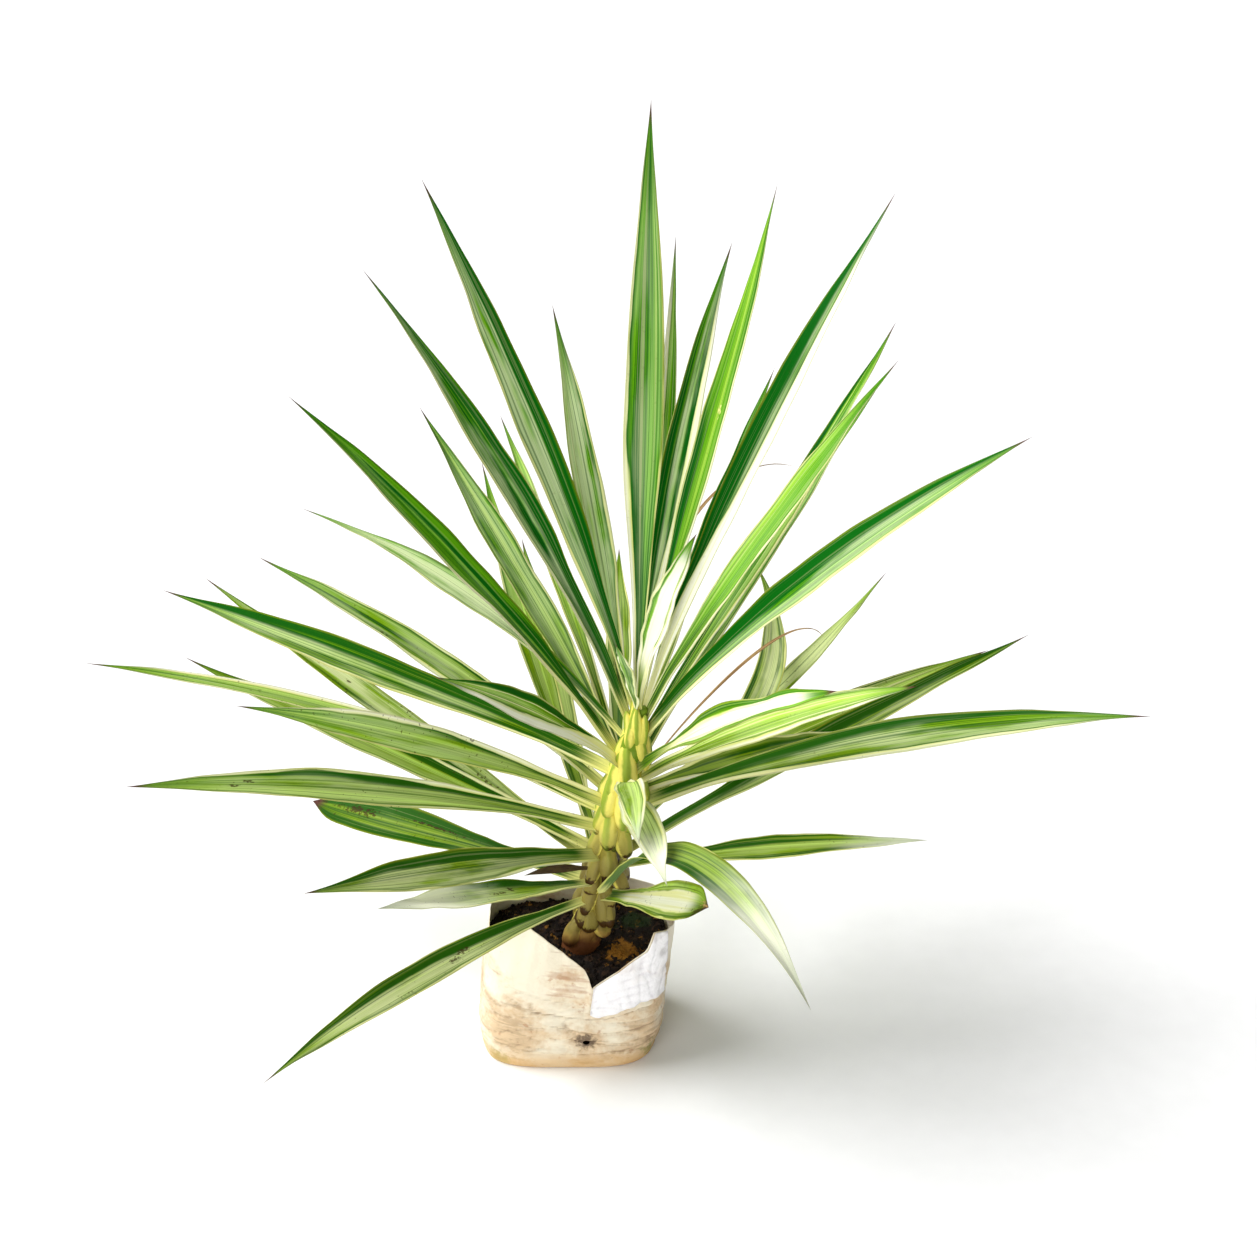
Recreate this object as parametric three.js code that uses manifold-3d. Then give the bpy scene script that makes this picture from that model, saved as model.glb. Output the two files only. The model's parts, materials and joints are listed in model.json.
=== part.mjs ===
// Young variegated yucca in a white nursery grow bag.
// Millimetres, +Z up. The origin is the middle of the bag's flat base.
// +X is the viewer's right, +Y points away from the viewer.

import * as THREE from 'three';
import { mergeVertices } from 'three/addons/utils/BufferGeometryUtils.js';
import Module from 'manifold-3d';

const wasm = await Module();
wasm.setup();

// Grow bag: a lay-flat film bag, filled until it stands on a squared base.
const BAG_BASE_HALF_WIDTH = 74;
const BAG_BASE_HALF_DEPTH = 62;
const BAG_BELLY_HALF_WIDTH = 82;
const BAG_BELLY_HALF_DEPTH = 67;
const BAG_BELLY_HEIGHT = 42;
const BAG_MOUTH_HALF_WIDTH = 80;
const BAG_MOUTH_HALF_DEPTH = 61;
const BAG_RIM_HEIGHT = 113;
const BAG_RIM_LEAN = 5;
const BAG_SPLIT_HEIGHT = 86;
const BAG_SPLIT_ANGLE = -78.5;
const BAG_SPLIT_LEFT_SPAN = 52.5;
const BAG_SPLIT_RIGHT_SPAN = 45;
const BAG_LEFT_PEAK = 140;
const BAG_RIGHT_PEAK = 132;
const BAG_BASE_SHIFT = -6;
const BAG_BELLY_SHIFT = -2;
const BAG_MOUTH_SHIFT = 6;
const BAG_WALL = 1.6;
const BAG_SIDES = 48;
const BAG_LEVELS = [0, 2.5, 7, 15, 27, 42, 58, 72, 84];
const BAG_UPPER_LEVELS = 4;
const BAG_CORNER_POWER = 3.8;
const BAG_BULGE_POWER = 0.6;
const BAG_RIM_RIPPLE = 2.5;
const BAG_RIM_RIPPLES = 7;
const DRAIN_HOLE_WIDTH = 6;
const DRAIN_HOLE_HEIGHT = 29;
const DRAIN_HOLE_X = 11;
const DRAIN_HOLE_SIDES = 10;

// Soil: fills the bag to just under the bottom of the split and rises to the back.
const SOIL_HEIGHT = 80;
const SOIL_BACK_RISE = 12;
const SOIL_MOUND = 4;
const SOIL_ROUGHNESS = 1.6;
const SOIL_LUMP_LENGTH = 30;
const SOIL_GAP = 0.3;
const SOIL_EDGE_ROOM = 1.2;
const SOIL_RINGS = 7;

// Stem: leans to the right from a knee above the soil and carries the leaves in a spiral.
const STEM_FOOT_HEIGHT = 40;
const STEM_KNEE_HEIGHT = 140;
const STEM_TOP_HEIGHT = 328;
const STEM_FOOT_X = -10;
const STEM_KNEE_X = 20;
const STEM_TOP_X = 58;
const STEM_FOOT_Y = -2;
const STEM_TOP_Y = -6;
const STEM_SIDES = 16;
const STEM_RINGS = 48;
const STEM_CUSHION_RELIEF = 2.4;
const STEM_CUSHION_WIDTH = 12;
const STEM_CUSHION_HEIGHT = 10;
const STEM_CUSHION_PITCH = 6.2;
const STEM_LOWEST_CUSHION = 92;
const GOLDEN_ANGLE = 137.5;
const STEM_GAP = 0.3;
const STEM_RADII = [[40, 14], [62, 18], [84, 16], [100, 14], [150, 13.5], [230, 13.5], [290, 12], [318, 8], [328, 4]];

// Leaves: channelled sword blades with a narrow thick foot and a spine at the tip.
const LEAF_STATIONS = 12;
const LEAF_STEPS_PER_STATION = 4;
const LEAF_DROOP_POWER = 1.5;
const LEAF_SINK = 4;
const LEAF_NECK = 0.46;
const LEAF_FOOT_THICKNESS_RATIO = 0.15;
const LEAF_FOOT_REACH = 0.12;
const LEAF_BLADE_THICKNESS = 1.5;
const LEAF_MARGIN_THICKNESS = 0.8;
const LEAF_FOOT_CHANNEL = 0.2;
const LEAF_BLADE_CHANNEL = 0.13;
const LEAF_LOWEST = 140;
const LEAF_HIGHEST = 310;
const LEAF_CLASP_LIFT_LOW = 5;
const LEAF_CLASP_LIFT_HIGH = 22;
const LEAF_CLASP_REACH = 0.1;
const LEAF_SWELL = 1.7;
const LEAF_TAPER = 1.45;
const LEAF_WAVES = 2.6;
const LEAF_WAVE_ONSET = 0.25;
const LEAF_BLUNT_TAPER = 0.55;

const degrees = (angle) => angle * Math.PI / 180;
const mix = (a, b, t) => a + (b - a) * t;

const matte = (color, roughness) => new THREE.MeshStandardMaterial({ color, roughness, metalness: 0 });

const FINISHES = {
  film: matte(0xe9dfcf, 0.5),
  soil: matte(0x35241a, 0.95),
  stem: matte(0xd2c46a, 0.6),
  green: matte(0x3f8f3a, 0.45),
  glaucous: matte(0x8fae86, 0.5),
  cream: matte(0xd9dd9a, 0.45),
  dry: matte(0xb08a5c, 0.8),
};

// Leaves from the youngest at the top of the stem to the oldest at its foot.
// at: height on the stem; heading: compass angle, 0 to the right, 90 away, 270 to the viewer;
// rise: angle over the horizon past the foot; droop and sway: bend down and sideways by the tip;
// roll: turn about the leaf's own line; neck: foot width by blade width; wave: lift of its edges.
const LEAVES = [
  { at: 325, heading: 0, rise: 78, length: 172, width: 24, droop: 14, roll: 50, neck: 0.3, wave: 1.5, finish: 'cream' },
  { at: 319, heading: 236, rise: 68, length: 90, width: 20, droop: 0, roll: -20, neck: 0.3, finish: 'glaucous' },
  { at: 316, heading: 86.7, rise: 71.2, length: 512, width: 31, droop: 10, roll: 3, neck: 0.3, finish: 'green' },
  { at: 310, heading: 133.9, rise: 60.3, length: 484, width: 30, droop: 4, sway: 7, roll: -14, neck: 0.27, finish: 'green' },
  { at: 312, heading: 59.7, rise: 58.2, length: 460, width: 23, droop: -13, sway: -12.4, roll: -3, neck: 0.27, finish: 'green' },
  { at: 298, heading: 40.7, rise: 58, length: 500, width: 30, droop: 6, sway: -6, roll: 4, neck: 0.27, finish: 'green' },
  { at: 283, heading: 74.7, rise: 57.1, length: 445, width: 17, droop: 6, sway: 12.3, roll: 24, neck: 0.26, finish: 'cream' },
  { at: 300, heading: 138.8, rise: 53.9, length: 449, width: 28, droop: 9.5, sway: 10.5, roll: -8, neck: 0.36, finish: 'green' },
  { at: 299, heading: -0.1, rise: 59, length: 396, width: 27, droop: 4, roll: 25, neck: 0.36, finish: 'green' },
  { at: 289, heading: 72, rise: 62.5, length: 437, width: 24, droop: 16, sway: -6.3, roll: 14, neck: 0.26, finish: 'glaucous' },
  { at: 288, heading: 108.6, rise: 58.7, length: 381, width: 25, droop: 8, roll: -2, neck: 0.28, finish: 'glaucous' },
  { at: 272, heading: 154, rise: 44.7, length: 415, width: 29, droop: 6, sway: 8, roll: -8, neck: 0.42, finish: 'green' },
  { at: 288, heading: -12.9, rise: 49.8, length: 445, width: 31, droop: 14.3, sway: -2.4, roll: 35, neck: 0.41, finish: 'green' },
  { at: 272, heading: 38.6, rise: 43.6, length: 436, width: 24, droop: -6, sway: 3.7, roll: 8, finish: 'green' },
  { at: 260, heading: 107.3, rise: 24.1, length: 425, width: 18, droop: 6, roll: 0, finish: 'cream' },
  { at: 272, heading: 212, rise: 41, length: 220, width: 30, droop: 10, roll: -40, finish: 'cream' },
  { at: 262, heading: 319, rise: 42, length: 264, width: 32, droop: 15, roll: 30, neck: 0.42, wave: 2.5, finish: 'cream' },
  { at: 258, heading: 58.2, rise: 51.7, length: 376, width: 18, droop: 8, roll: 0, finish: 'green' },
  { at: 289, heading: 138.3, rise: 26.2, length: 368, width: 25, droop: 17, sway: 18.3, roll: -7, neck: 0.3, finish: 'glaucous' },
  { at: 264, heading: 120, rise: 30.6, length: 375, width: 29, droop: -16, sway: 16, roll: -2, neck: 0.36, finish: 'glaucous' },
  { at: 252, heading: 275, rise: 37, length: 160, width: 24, droop: 60, roll: 10, wave: 1.5, finish: 'green' },
  { at: 244, heading: 42.3, rise: 46, length: 415, width: 22, droop: 8, roll: 10, finish: 'glaucous' },
  { at: 259, heading: 163.5, rise: 14.6, length: 430, width: 33, droop: 3.5, sway: -3.4, roll: -20, finish: 'green' },
  { at: 252, heading: 337, rise: 34.9, length: 288, width: 30, droop: 12, roll: 35, wave: 1.5, finish: 'cream' },
  { at: 230, heading: 90, rise: 8, length: 404, width: 22, droop: 8, roll: 0, finish: 'green' },
  { at: 245, heading: 278.8, rise: 22.3, length: 187, width: 30, droop: 38, sway: 5, roll: 9, neck: 0.4, wave: 2, finish: 'green' },
  { at: 240, heading: 17.3, rise: 8, length: 215, width: 28, droop: 6, roll: 24, finish: 'green' },
  { at: 237, heading: 142.4, rise: 19.5, length: 391, width: 28, droop: 2, sway: 14, roll: -10, finish: 'green' },
  { at: 226, heading: 29.9, rise: 4.7, length: 371, width: 27, droop: -14.8, sway: 79, roll: 10, finish: 'glaucous' },
  { at: 232, heading: 198, rise: 29.7, length: 345, width: 29, droop: 12, roll: -40, finish: 'green' },
  { at: 224, heading: 351.8, rise: 23.6, length: 453, width: 31, droop: 15.5, sway: -7.4, roll: 35, finish: 'green' },
  { at: 217, heading: 34.5, rise: 6, length: 413, width: 26, droop: 6, roll: 33, finish: 'green' },
  { at: 219, heading: 167.8, rise: 20.1, length: 458, width: 16, droop: 8.8, sway: 20.5, roll: -20, finish: 'cream' },
  { at: 186, heading: 50, rise: 9, length: 415, width: 22, droop: -14, roll: 0, finish: 'glaucous' },
  { at: 208, heading: 197.9, rise: 21.7, length: 424, width: 28, droop: 9.4, sway: 10.3, roll: -40, finish: 'green' },
  { at: 176, heading: 113, rise: 33, length: 402, width: 24, droop: -4, sway: -6, roll: 0, finish: 'green' },
  { at: 174, heading: 26.6, rise: 16.4, length: 425, width: 27, droop: -4, sway: -7.6, roll: 15, finish: 'green' },
  { at: 182, heading: 158.4, rise: 15.4, length: 396, width: 28, droop: -11.5, sway: 14.4, roll: -20, finish: 'green' },
  { at: 160, heading: 103.6, rise: 26.5, length: 361, width: 24, droop: -2, roll: 0, finish: 'green' },
  { at: 168, heading: 144.2, rise: 16.1, length: 470, width: 28, droop: -3, sway: 0.3, roll: -10, finish: 'glaucous' },
  { at: 184, heading: 223.2, rise: 19, length: 323, width: 30, droop: 3.5, roll: -45, finish: 'glaucous' },
  { at: 144, heading: 293.7, rise: 50.5, length: 413, width: 36, droop: 86, sway: 5, roll: 7, neck: 0.42, finish: 'cream' },
  { at: 150, heading: 139.4, rise: -9.6, length: 327, width: 41, droop: -7, sway: 10, roll: -20, finish: 'green', blunt: true },
  { at: 171, heading: 337.3, rise: 20.2, length: 292, width: 22, droop: 4.5, roll: 30, neck: 0.43, finish: 'glaucous' },
  { at: 156, heading: 228.8, rise: 20.9, length: 271, width: 33, droop: -2, roll: -13, neck: 0.38, wave: 1, finish: 'cream' },
  { at: 144, heading: 308.6, rise: 24.8, length: 137, width: 37, droop: 8.5, sway: 9.3, roll: 33, finish: 'cream', blunt: true },
  { at: 140, heading: 229.8, rise: 11.4, length: 382, width: 25, droop: 20, roll: -35, neck: 0.4, finish: 'green' },
  { at: 268, heading: 80, rise: 59.5, length: 391, width: 5, droop: 88, sway: -36, roll: 0, finish: 'dry' },
  { at: 237, heading: 37.8, rise: 34.4, length: 334, width: 5, droop: 79, sway: 29.3, roll: 0, finish: 'dry' },
  { at: 171, heading: 218.5, rise: 23, length: 80, width: 12, droop: 15, roll: -30, finish: 'dry' },
];

// A closed body from rings of points, first ring to last, each ring in the same turning sense.
// An end is a flat fan to the middle of its ring, or to a tip point where one is given.
function loft(rings, firstTip = null, lastTip = null) {
  const sides = rings[0].length;
  const points = rings.flat();
  const faces = [];
  for (let ring = 0; ring < rings.length - 1; ring += 1) {
    for (let side = 0; side < sides; side += 1) {
      const next = (side + 1) % sides;
      const a = ring * sides + side;
      const b = ring * sides + next;
      faces.push([a, b, b + sides], [a, b + sides, a + sides]);
    }
  }
  const last = (rings.length - 1) * sides;
  const firstCentre = points.push(firstTip ?? middle(rings[0])) - 1;
  const lastCentre = points.push(lastTip ?? middle(rings[rings.length - 1])) - 1;
  for (let side = 0; side < sides; side += 1) {
    const next = (side + 1) % sides;
    faces.push([firstCentre, next, side]);
    faces.push([lastCentre, last + side, last + next]);
  }
  return body(points, faces);
}

function middle(ring) {
  const centre = new THREE.Vector3();
  ring.forEach((point) => centre.add(point));
  return centre.divideScalar(ring.length);
}

function body(points, faces) {
  const geometry = new THREE.BufferGeometry();
  geometry.setAttribute('position', new THREE.Float32BufferAttribute(points.flatMap((p) => p.toArray()), 3));
  geometry.setIndex(faces.flat());
  return geometry;
}

function solid(geometry) {
  const bare = geometry.clone();
  bare.deleteAttribute('normal');
  bare.deleteAttribute('uv');
  const merged = mergeVertices(bare, 1e-4);
  return new wasm.Manifold(new wasm.Mesh({
    numProp: 3,
    vertProperties: new Float32Array(merged.attributes.position.array),
    triVerts: new Uint32Array(merged.index.array),
  }));
}

function shell(manifold) {
  const mesh = manifold.getMesh();
  const geometry = new THREE.BufferGeometry();
  geometry.setAttribute('position', new THREE.BufferAttribute(new Float32Array(mesh.vertProperties), 3));
  geometry.setIndex(new THREE.BufferAttribute(new Uint32Array(mesh.triVerts), 1));
  return geometry;
}

function named(name, geometry, finish) {
  const mesh = new THREE.Mesh(geometry, FINISHES[finish]);
  geometry.computeVertexNormals();
  mesh.name = name;
  return mesh;
}

// The stem's middle line by height: it leans more below the knee than above it.
function stemCentre(height) {
  const whole = (height - STEM_FOOT_HEIGHT) / (STEM_TOP_HEIGHT - STEM_FOOT_HEIGHT);
  const below = (height - STEM_FOOT_HEIGHT) / (STEM_KNEE_HEIGHT - STEM_FOOT_HEIGHT);
  const above = (height - STEM_KNEE_HEIGHT) / (STEM_TOP_HEIGHT - STEM_KNEE_HEIGHT);
  const x = above > 0 ? mix(STEM_KNEE_X, STEM_TOP_X, above) : mix(STEM_FOOT_X, STEM_KNEE_X, below);
  return new THREE.Vector3(x, mix(STEM_FOOT_Y, STEM_TOP_Y, whole), height);
}

function stemRadius(height) {
  const above = STEM_RADII.findIndex(([level]) => level >= height);
  if (above <= 0) {
    return STEM_RADII[above === 0 ? 0 : STEM_RADII.length - 1][1];
  }
  const [lowLevel, lowRadius] = STEM_RADII[above - 1];
  const [highLevel, highRadius] = STEM_RADII[above];
  return mix(lowRadius, highRadius, (height - lowLevel) / (highLevel - lowLevel));
}

// The stem's surface is a spiral of swollen leaf bases: the relief is that of the nearest cushion.
function cushionRelief(height, angle) {
  const radius = stemRadius(height);
  const count = Math.floor((STEM_TOP_HEIGHT - STEM_LOWEST_CUSHION) / STEM_CUSHION_PITCH);
  let relief = 0;
  for (let index = 0; index < count; index += 1) {
    const up = (height - STEM_LOWEST_CUSHION - index * STEM_CUSHION_PITCH) / STEM_CUSHION_HEIGHT;
    const turn = angle - degrees(GOLDEN_ANGLE) * index;
    const across = radius * Math.atan2(Math.sin(turn), Math.cos(turn)) / STEM_CUSHION_WIDTH;
    relief = Math.max(relief, Math.sqrt(Math.max(0, 1 - up * up - across * across)));
  }
  return STEM_CUSHION_RELIEF * relief;
}

function stemBody(extra) {
  const rings = [];
  for (let ring = 0; ring <= STEM_RINGS; ring += 1) {
    const t = ring / STEM_RINGS;
    const height = mix(STEM_FOOT_HEIGHT, STEM_TOP_HEIGHT, t);
    const centre = stemCentre(height);
    const points = [];
    for (let side = 0; side < STEM_SIDES; side += 1) {
      const angle = 2 * Math.PI * side / STEM_SIDES;
      const radius = stemRadius(height) + cushionRelief(height, angle) + extra;
      points.push(new THREE.Vector3(Math.cos(angle), Math.sin(angle), 0).multiplyScalar(radius).add(centre));
    }
    rings.push(points);
  }
  const foot = stemCentre(STEM_FOOT_HEIGHT - extra);
  const top = stemCentre(STEM_TOP_HEIGHT + extra);
  rings[0].forEach((point) => { point.z -= extra; });
  rings[STEM_RINGS].forEach((point) => { point.z += extra; });
  return loft(rings, foot, top);
}

// A leaf's middle line as stations: place, direction along the blade, side direction and face normal.
function leafStations(leaf) {
  const heading = degrees(leaf.heading);
  const outward = new THREE.Vector3(Math.cos(heading), Math.sin(heading), 0);
  const place = stemCentre(leaf.at).addScaledVector(outward, stemRadius(leaf.at) - LEAF_SINK);
  const upStem = (leaf.at - LEAF_LOWEST) / (LEAF_HIGHEST - LEAF_LOWEST);
  const lift = mix(LEAF_CLASP_LIFT_LOW, LEAF_CLASP_LIFT_HIGH, upStem);
  const steps = LEAF_STATIONS * LEAF_STEPS_PER_STATION;
  const stations = [];
  for (let step = 0; step <= steps; step += 1) {
    const s = step / steps;
    const clasp = lift * Math.exp(-s / LEAF_CLASP_REACH);
    const rise = degrees(leaf.rise + clasp - leaf.droop * s ** LEAF_DROOP_POWER);
    const turn = degrees(leaf.heading + (leaf.sway ?? 0) * s);
    const roll = degrees(leaf.roll);
    const along = new THREE.Vector3(
      Math.cos(rise) * Math.cos(turn),
      Math.cos(rise) * Math.sin(turn),
      Math.sin(rise),
    );
    const level = new THREE.Vector3(-Math.sin(turn), Math.cos(turn), 0);
    const upper = new THREE.Vector3().crossVectors(along, level);
    const side = level.clone().multiplyScalar(Math.cos(roll)).addScaledVector(upper, Math.sin(roll));
    const normal = upper.clone().multiplyScalar(Math.cos(roll)).addScaledVector(level, -Math.sin(roll));
    if (step % LEAF_STEPS_PER_STATION === 0) {
      stations.push({ s, place: place.clone(), along, side, normal });
    }
    place.addScaledVector(along, leaf.length / steps);
  }
  return stations;
}

// Half the blade's width by how far along it is: a narrow foot, a swelling and a long taper.
function leafHalfWidth(leaf, s) {
  const taper = leaf.blunt ? LEAF_BLUNT_TAPER : LEAF_TAPER;
  const widest = LEAF_SWELL / (LEAF_SWELL + taper);
  const swell = (s / widest) ** LEAF_SWELL * ((1 - s) / (1 - widest)) ** taper;
  const neck = (leaf.neck ?? LEAF_NECK) * (1 - s);
  return leaf.width / 2 * (swell ** 3 + neck ** 3) ** (1 / 3);
}

function leafBody(leaf) {
  const stations = leafStations(leaf);
  const rings = stations.slice(0, -1).map(({ s, place, side, normal }) => {
    const half = leafHalfWidth(leaf, s);
    const footness = Math.exp(-s / LEAF_FOOT_REACH);
    const footThickness = LEAF_FOOT_THICKNESS_RATIO * leaf.width;
    const thickness = mix(LEAF_BLADE_THICKNESS, footThickness, footness);
    const margin = mix(LEAF_MARGIN_THICKNESS, footThickness / 2, footness);
    const channel = 2 * half * mix(LEAF_BLADE_CHANNEL, LEAF_FOOT_CHANNEL, footness);
    const waveHeight = (leaf.wave ?? 0) * Math.min(1, s / LEAF_WAVE_ONSET);
    const wave = waveHeight * Math.sin(2 * Math.PI * LEAF_WAVES * s);
    const at = (across, up) => place.clone().addScaledVector(side, across).addScaledVector(normal, up);
    return [
      at(half, channel + wave + margin / 2),
      at(0, thickness / 2),
      at(-half, channel - wave + margin / 2),
      at(-half, channel - wave - margin / 2),
      at(0, -thickness / 2),
      at(half, channel + wave - margin / 2),
    ];
  });
  return loft(rings, null, stations[LEAF_STATIONS].place);
}

// The bag's outline at a level is a rounded square; this is its reach by angle.
function squareReach(angle, halfWidth, halfDepth) {
  const c = Math.abs(Math.cos(angle) / halfWidth) ** BAG_CORNER_POWER;
  const s = Math.abs(Math.sin(angle) / halfDepth) ** BAG_CORNER_POWER;
  return (c + s) ** (-1 / BAG_CORNER_POWER);
}

// Half width, half depth and sideways shift of the bag's outline at a height.
function bagOutline(height) {
  if (height <= BAG_BELLY_HEIGHT) {
    const bulge = Math.sin(Math.PI / 2 * height / BAG_BELLY_HEIGHT) ** BAG_BULGE_POWER;
    return {
      halfWidth: mix(BAG_BASE_HALF_WIDTH, BAG_BELLY_HALF_WIDTH, bulge),
      halfDepth: mix(BAG_BASE_HALF_DEPTH, BAG_BELLY_HALF_DEPTH, bulge),
      shift: mix(BAG_BASE_SHIFT, BAG_BELLY_SHIFT, bulge),
    };
  }
  const t = (height - BAG_BELLY_HEIGHT) / (BAG_RIM_HEIGHT - BAG_BELLY_HEIGHT);
  return {
    halfWidth: mix(BAG_BELLY_HALF_WIDTH, BAG_MOUTH_HALF_WIDTH, t * t),
    halfDepth: mix(BAG_BELLY_HALF_DEPTH, BAG_MOUTH_HALF_DEPTH, t * t),
    shift: mix(BAG_BELLY_SHIFT, BAG_MOUTH_SHIFT, t),
  };
}

function bagPoint(angle, height, inset, level = height) {
  const { halfWidth, halfDepth, shift } = bagOutline(level);
  const reach = squareReach(angle, halfWidth, halfDepth) - inset;
  return new THREE.Vector3(shift + reach * Math.cos(angle), reach * Math.sin(angle), height);
}

// The rim: two peaks beside the front split, a straight-sided V between them, and a plain back.
function bagRimHeight(angle) {
  const turn = THREE.MathUtils.euclideanModulo(angle * 180 / Math.PI - BAG_SPLIT_ANGLE + 180, 360) - 180;
  const span = turn < 0 ? BAG_SPLIT_LEFT_SPAN : BAG_SPLIT_RIGHT_SPAN;
  const peak = turn < 0 ? BAG_LEFT_PEAK : BAG_RIGHT_PEAK;
  const away = Math.abs(turn);
  if (away < span) {
    return mix(BAG_SPLIT_HEIGHT, peak, away / span);
  }
  const back = (away - span) / (180 - span);
  const ripple = BAG_RIM_RIPPLE * Math.sin(BAG_RIM_RIPPLES * angle) * Math.sin(Math.PI * back);
  const rim = BAG_RIM_HEIGHT + BAG_RIM_LEAN * Math.cos(angle);
  return mix(peak, rim, Math.sin(Math.min(back * 2, 1) * Math.PI / 2)) + ripple;
}

function ringOf(pointAt) {
  const points = [];
  for (let side = 0; side < BAG_SIDES; side += 1) {
    points.push(pointAt(degrees(BAG_SPLIT_ANGLE) + 2 * Math.PI * side / BAG_SIDES));
  }
  return points;
}

function bagBody() {
  const top = BAG_LEVELS[BAG_LEVELS.length - 1];
  const upper = (step) => (angle) => mix(top, bagRimHeight(angle), step / BAG_UPPER_LEVELS);
  const outside = [];
  const inside = [];
  BAG_LEVELS.forEach((level) => {
    outside.push(ringOf((angle) => bagPoint(angle, level, 0)));
    inside.push(ringOf((angle) => bagPoint(angle, Math.max(level, BAG_WALL), BAG_WALL, level)));
  });
  for (let step = 1; step <= BAG_UPPER_LEVELS; step += 1) {
    const height = upper(step);
    outside.push(ringOf((angle) => bagPoint(angle, height(angle), 0)));
    inside.push(ringOf((angle) => bagPoint(angle, height(angle), BAG_WALL)));
  }
  return loft([...outside, ...inside.reverse()]);
}

// One punch through the front and the back wall makes both small round drain holes.
function drainPunch() {
  const radius = DRAIN_HOLE_WIDTH / 2;
  const punch = new THREE.CylinderGeometry(radius, radius, 4 * BAG_BELLY_HALF_DEPTH, DRAIN_HOLE_SIDES);
  punch.translate(DRAIN_HOLE_X, 0, DRAIN_HOLE_HEIGHT);
  return punch;
}

function soilBody() {
  const inset = BAG_WALL + SOIL_GAP;
  const wave = 2 * Math.PI / SOIL_LUMP_LENGTH;
  const lump = (x, y) => Math.sin(wave * (x + y / 3)) * Math.cos(wave * (y - x / 4));
  const rings = BAG_LEVELS.filter((level) => level < SOIL_HEIGHT).map((level) => (
    ringOf((angle) => bagPoint(angle, Math.max(level, inset), inset, level))
  ));
  for (let step = 0; step <= SOIL_RINGS; step += 1) {
    const reach = 1 - step / (SOIL_RINGS + 1);
    rings.push(ringOf((angle) => {
      const slope = SOIL_BACK_RISE * (1 + reach * Math.sin(angle)) / 2;
      const point = bagPoint(angle, 0, inset + SOIL_EDGE_ROOM, SOIL_HEIGHT + slope);
      point.multiplyScalar(reach);
      const mound = SOIL_MOUND * (1 - reach * reach);
      point.z = SOIL_HEIGHT + slope + mound + SOIL_ROUGHNESS * lump(point.x, point.y);
      return point;
    }));
  }
  return loft(rings);
}

const plant = new THREE.Group();

const stemSolid = solid(stemBody(0));
const stemRoom = solid(stemBody(STEM_GAP));

const bag = solid(bagBody()).subtract(solid(drainPunch()));
plant.add(named('grow_bag', shell(bag), 'film'));

const soil = solid(soilBody()).subtract(stemRoom);
plant.add(named('soil', shell(soil), 'soil'));

plant.add(named('stem', shell(stemSolid), 'stem'));

const counts = { leaf: 0, dry_leaf: 0 };
LEAVES.forEach((leaf) => {
  const blade = solid(leafBody(leaf)).subtract(stemRoom);
  const kind = leaf.finish === 'dry' ? 'dry_leaf' : 'leaf';
  counts[kind] += 1;
  plant.add(named(`${kind}_${String(counts[kind]).padStart(2, '0')}`, shell(blade), leaf.finish));
});

export default plant;
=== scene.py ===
"""The looks of a young variegated yucca in a white nursery grow bag."""

import json
import math

import bmesh
import bpy
from mathutils import Matrix, Vector, noise
from mathutils.bvhtree import BVHTree


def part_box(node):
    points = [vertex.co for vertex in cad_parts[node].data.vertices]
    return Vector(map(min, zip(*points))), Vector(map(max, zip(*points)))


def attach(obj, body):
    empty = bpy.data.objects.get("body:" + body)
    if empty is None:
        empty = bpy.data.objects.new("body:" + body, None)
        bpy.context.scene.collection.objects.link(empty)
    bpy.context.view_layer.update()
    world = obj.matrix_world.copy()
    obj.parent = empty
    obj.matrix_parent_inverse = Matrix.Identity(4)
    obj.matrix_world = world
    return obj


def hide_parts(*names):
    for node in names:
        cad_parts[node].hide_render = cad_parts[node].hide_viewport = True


bl_info = {
    "name": "Potted Yucca",
    "version": (1, 0, 0),
    "blender": (4, 5, 0),
    "location": "3D View > Sidebar > Yucca",
    "description": "Leaves, stem, soil and grow bag of a young potted yucca",
    "category": "Add Mesh",
}

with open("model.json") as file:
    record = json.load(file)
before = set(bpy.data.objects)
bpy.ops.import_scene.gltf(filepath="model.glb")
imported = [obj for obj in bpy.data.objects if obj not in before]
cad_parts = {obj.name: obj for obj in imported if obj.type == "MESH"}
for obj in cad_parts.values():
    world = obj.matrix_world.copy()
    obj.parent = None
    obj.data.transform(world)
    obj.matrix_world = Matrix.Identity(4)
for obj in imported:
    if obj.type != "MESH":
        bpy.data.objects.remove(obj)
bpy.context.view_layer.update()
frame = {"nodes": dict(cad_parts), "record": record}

MM = 0.001
BODY = "root"
WELD = 0.000005
UP = Vector((0, 0, 1))
LEVEL = Vector((1, 1, 0))
NO_TURN = (0.0, 0.0, 0.0)
FULL_TURN = (6.28, 6.28, 6.28)

# The grow bag in millimetres: half width, half depth and sideways shift at three levels.
BASE = (74, 62, -6)
BELLY = (82, 67, -2)
MOUTH = (80, 61, 6)
BELLY_HEIGHT = 42
RIM_HEIGHT = 113
# The rim away from the split: how much it rises to the right, and its gentle waves.
RIM_SLOPE = 5
RIM_WAVES = 7
RIM_WAVE_HEIGHT = 2.5
# How square the bag is: 2 is an ellipse.
SQUARENESS = 3.8
# Height of the last level ring of faces, and its share of all rings.
FOLD_LEVEL = 84
FOLD_SHARE = 0.62
SPLIT_ANGLE = -78.5
# Rim height by degrees from the bottom of the split.
SPLIT_EDGE = ((-52.5, 140), (-44, 134), (-6.4, 103), (-3, 96), (0, 86.5), (33.8, 118), (38.5, 134), (45, 132))
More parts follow.
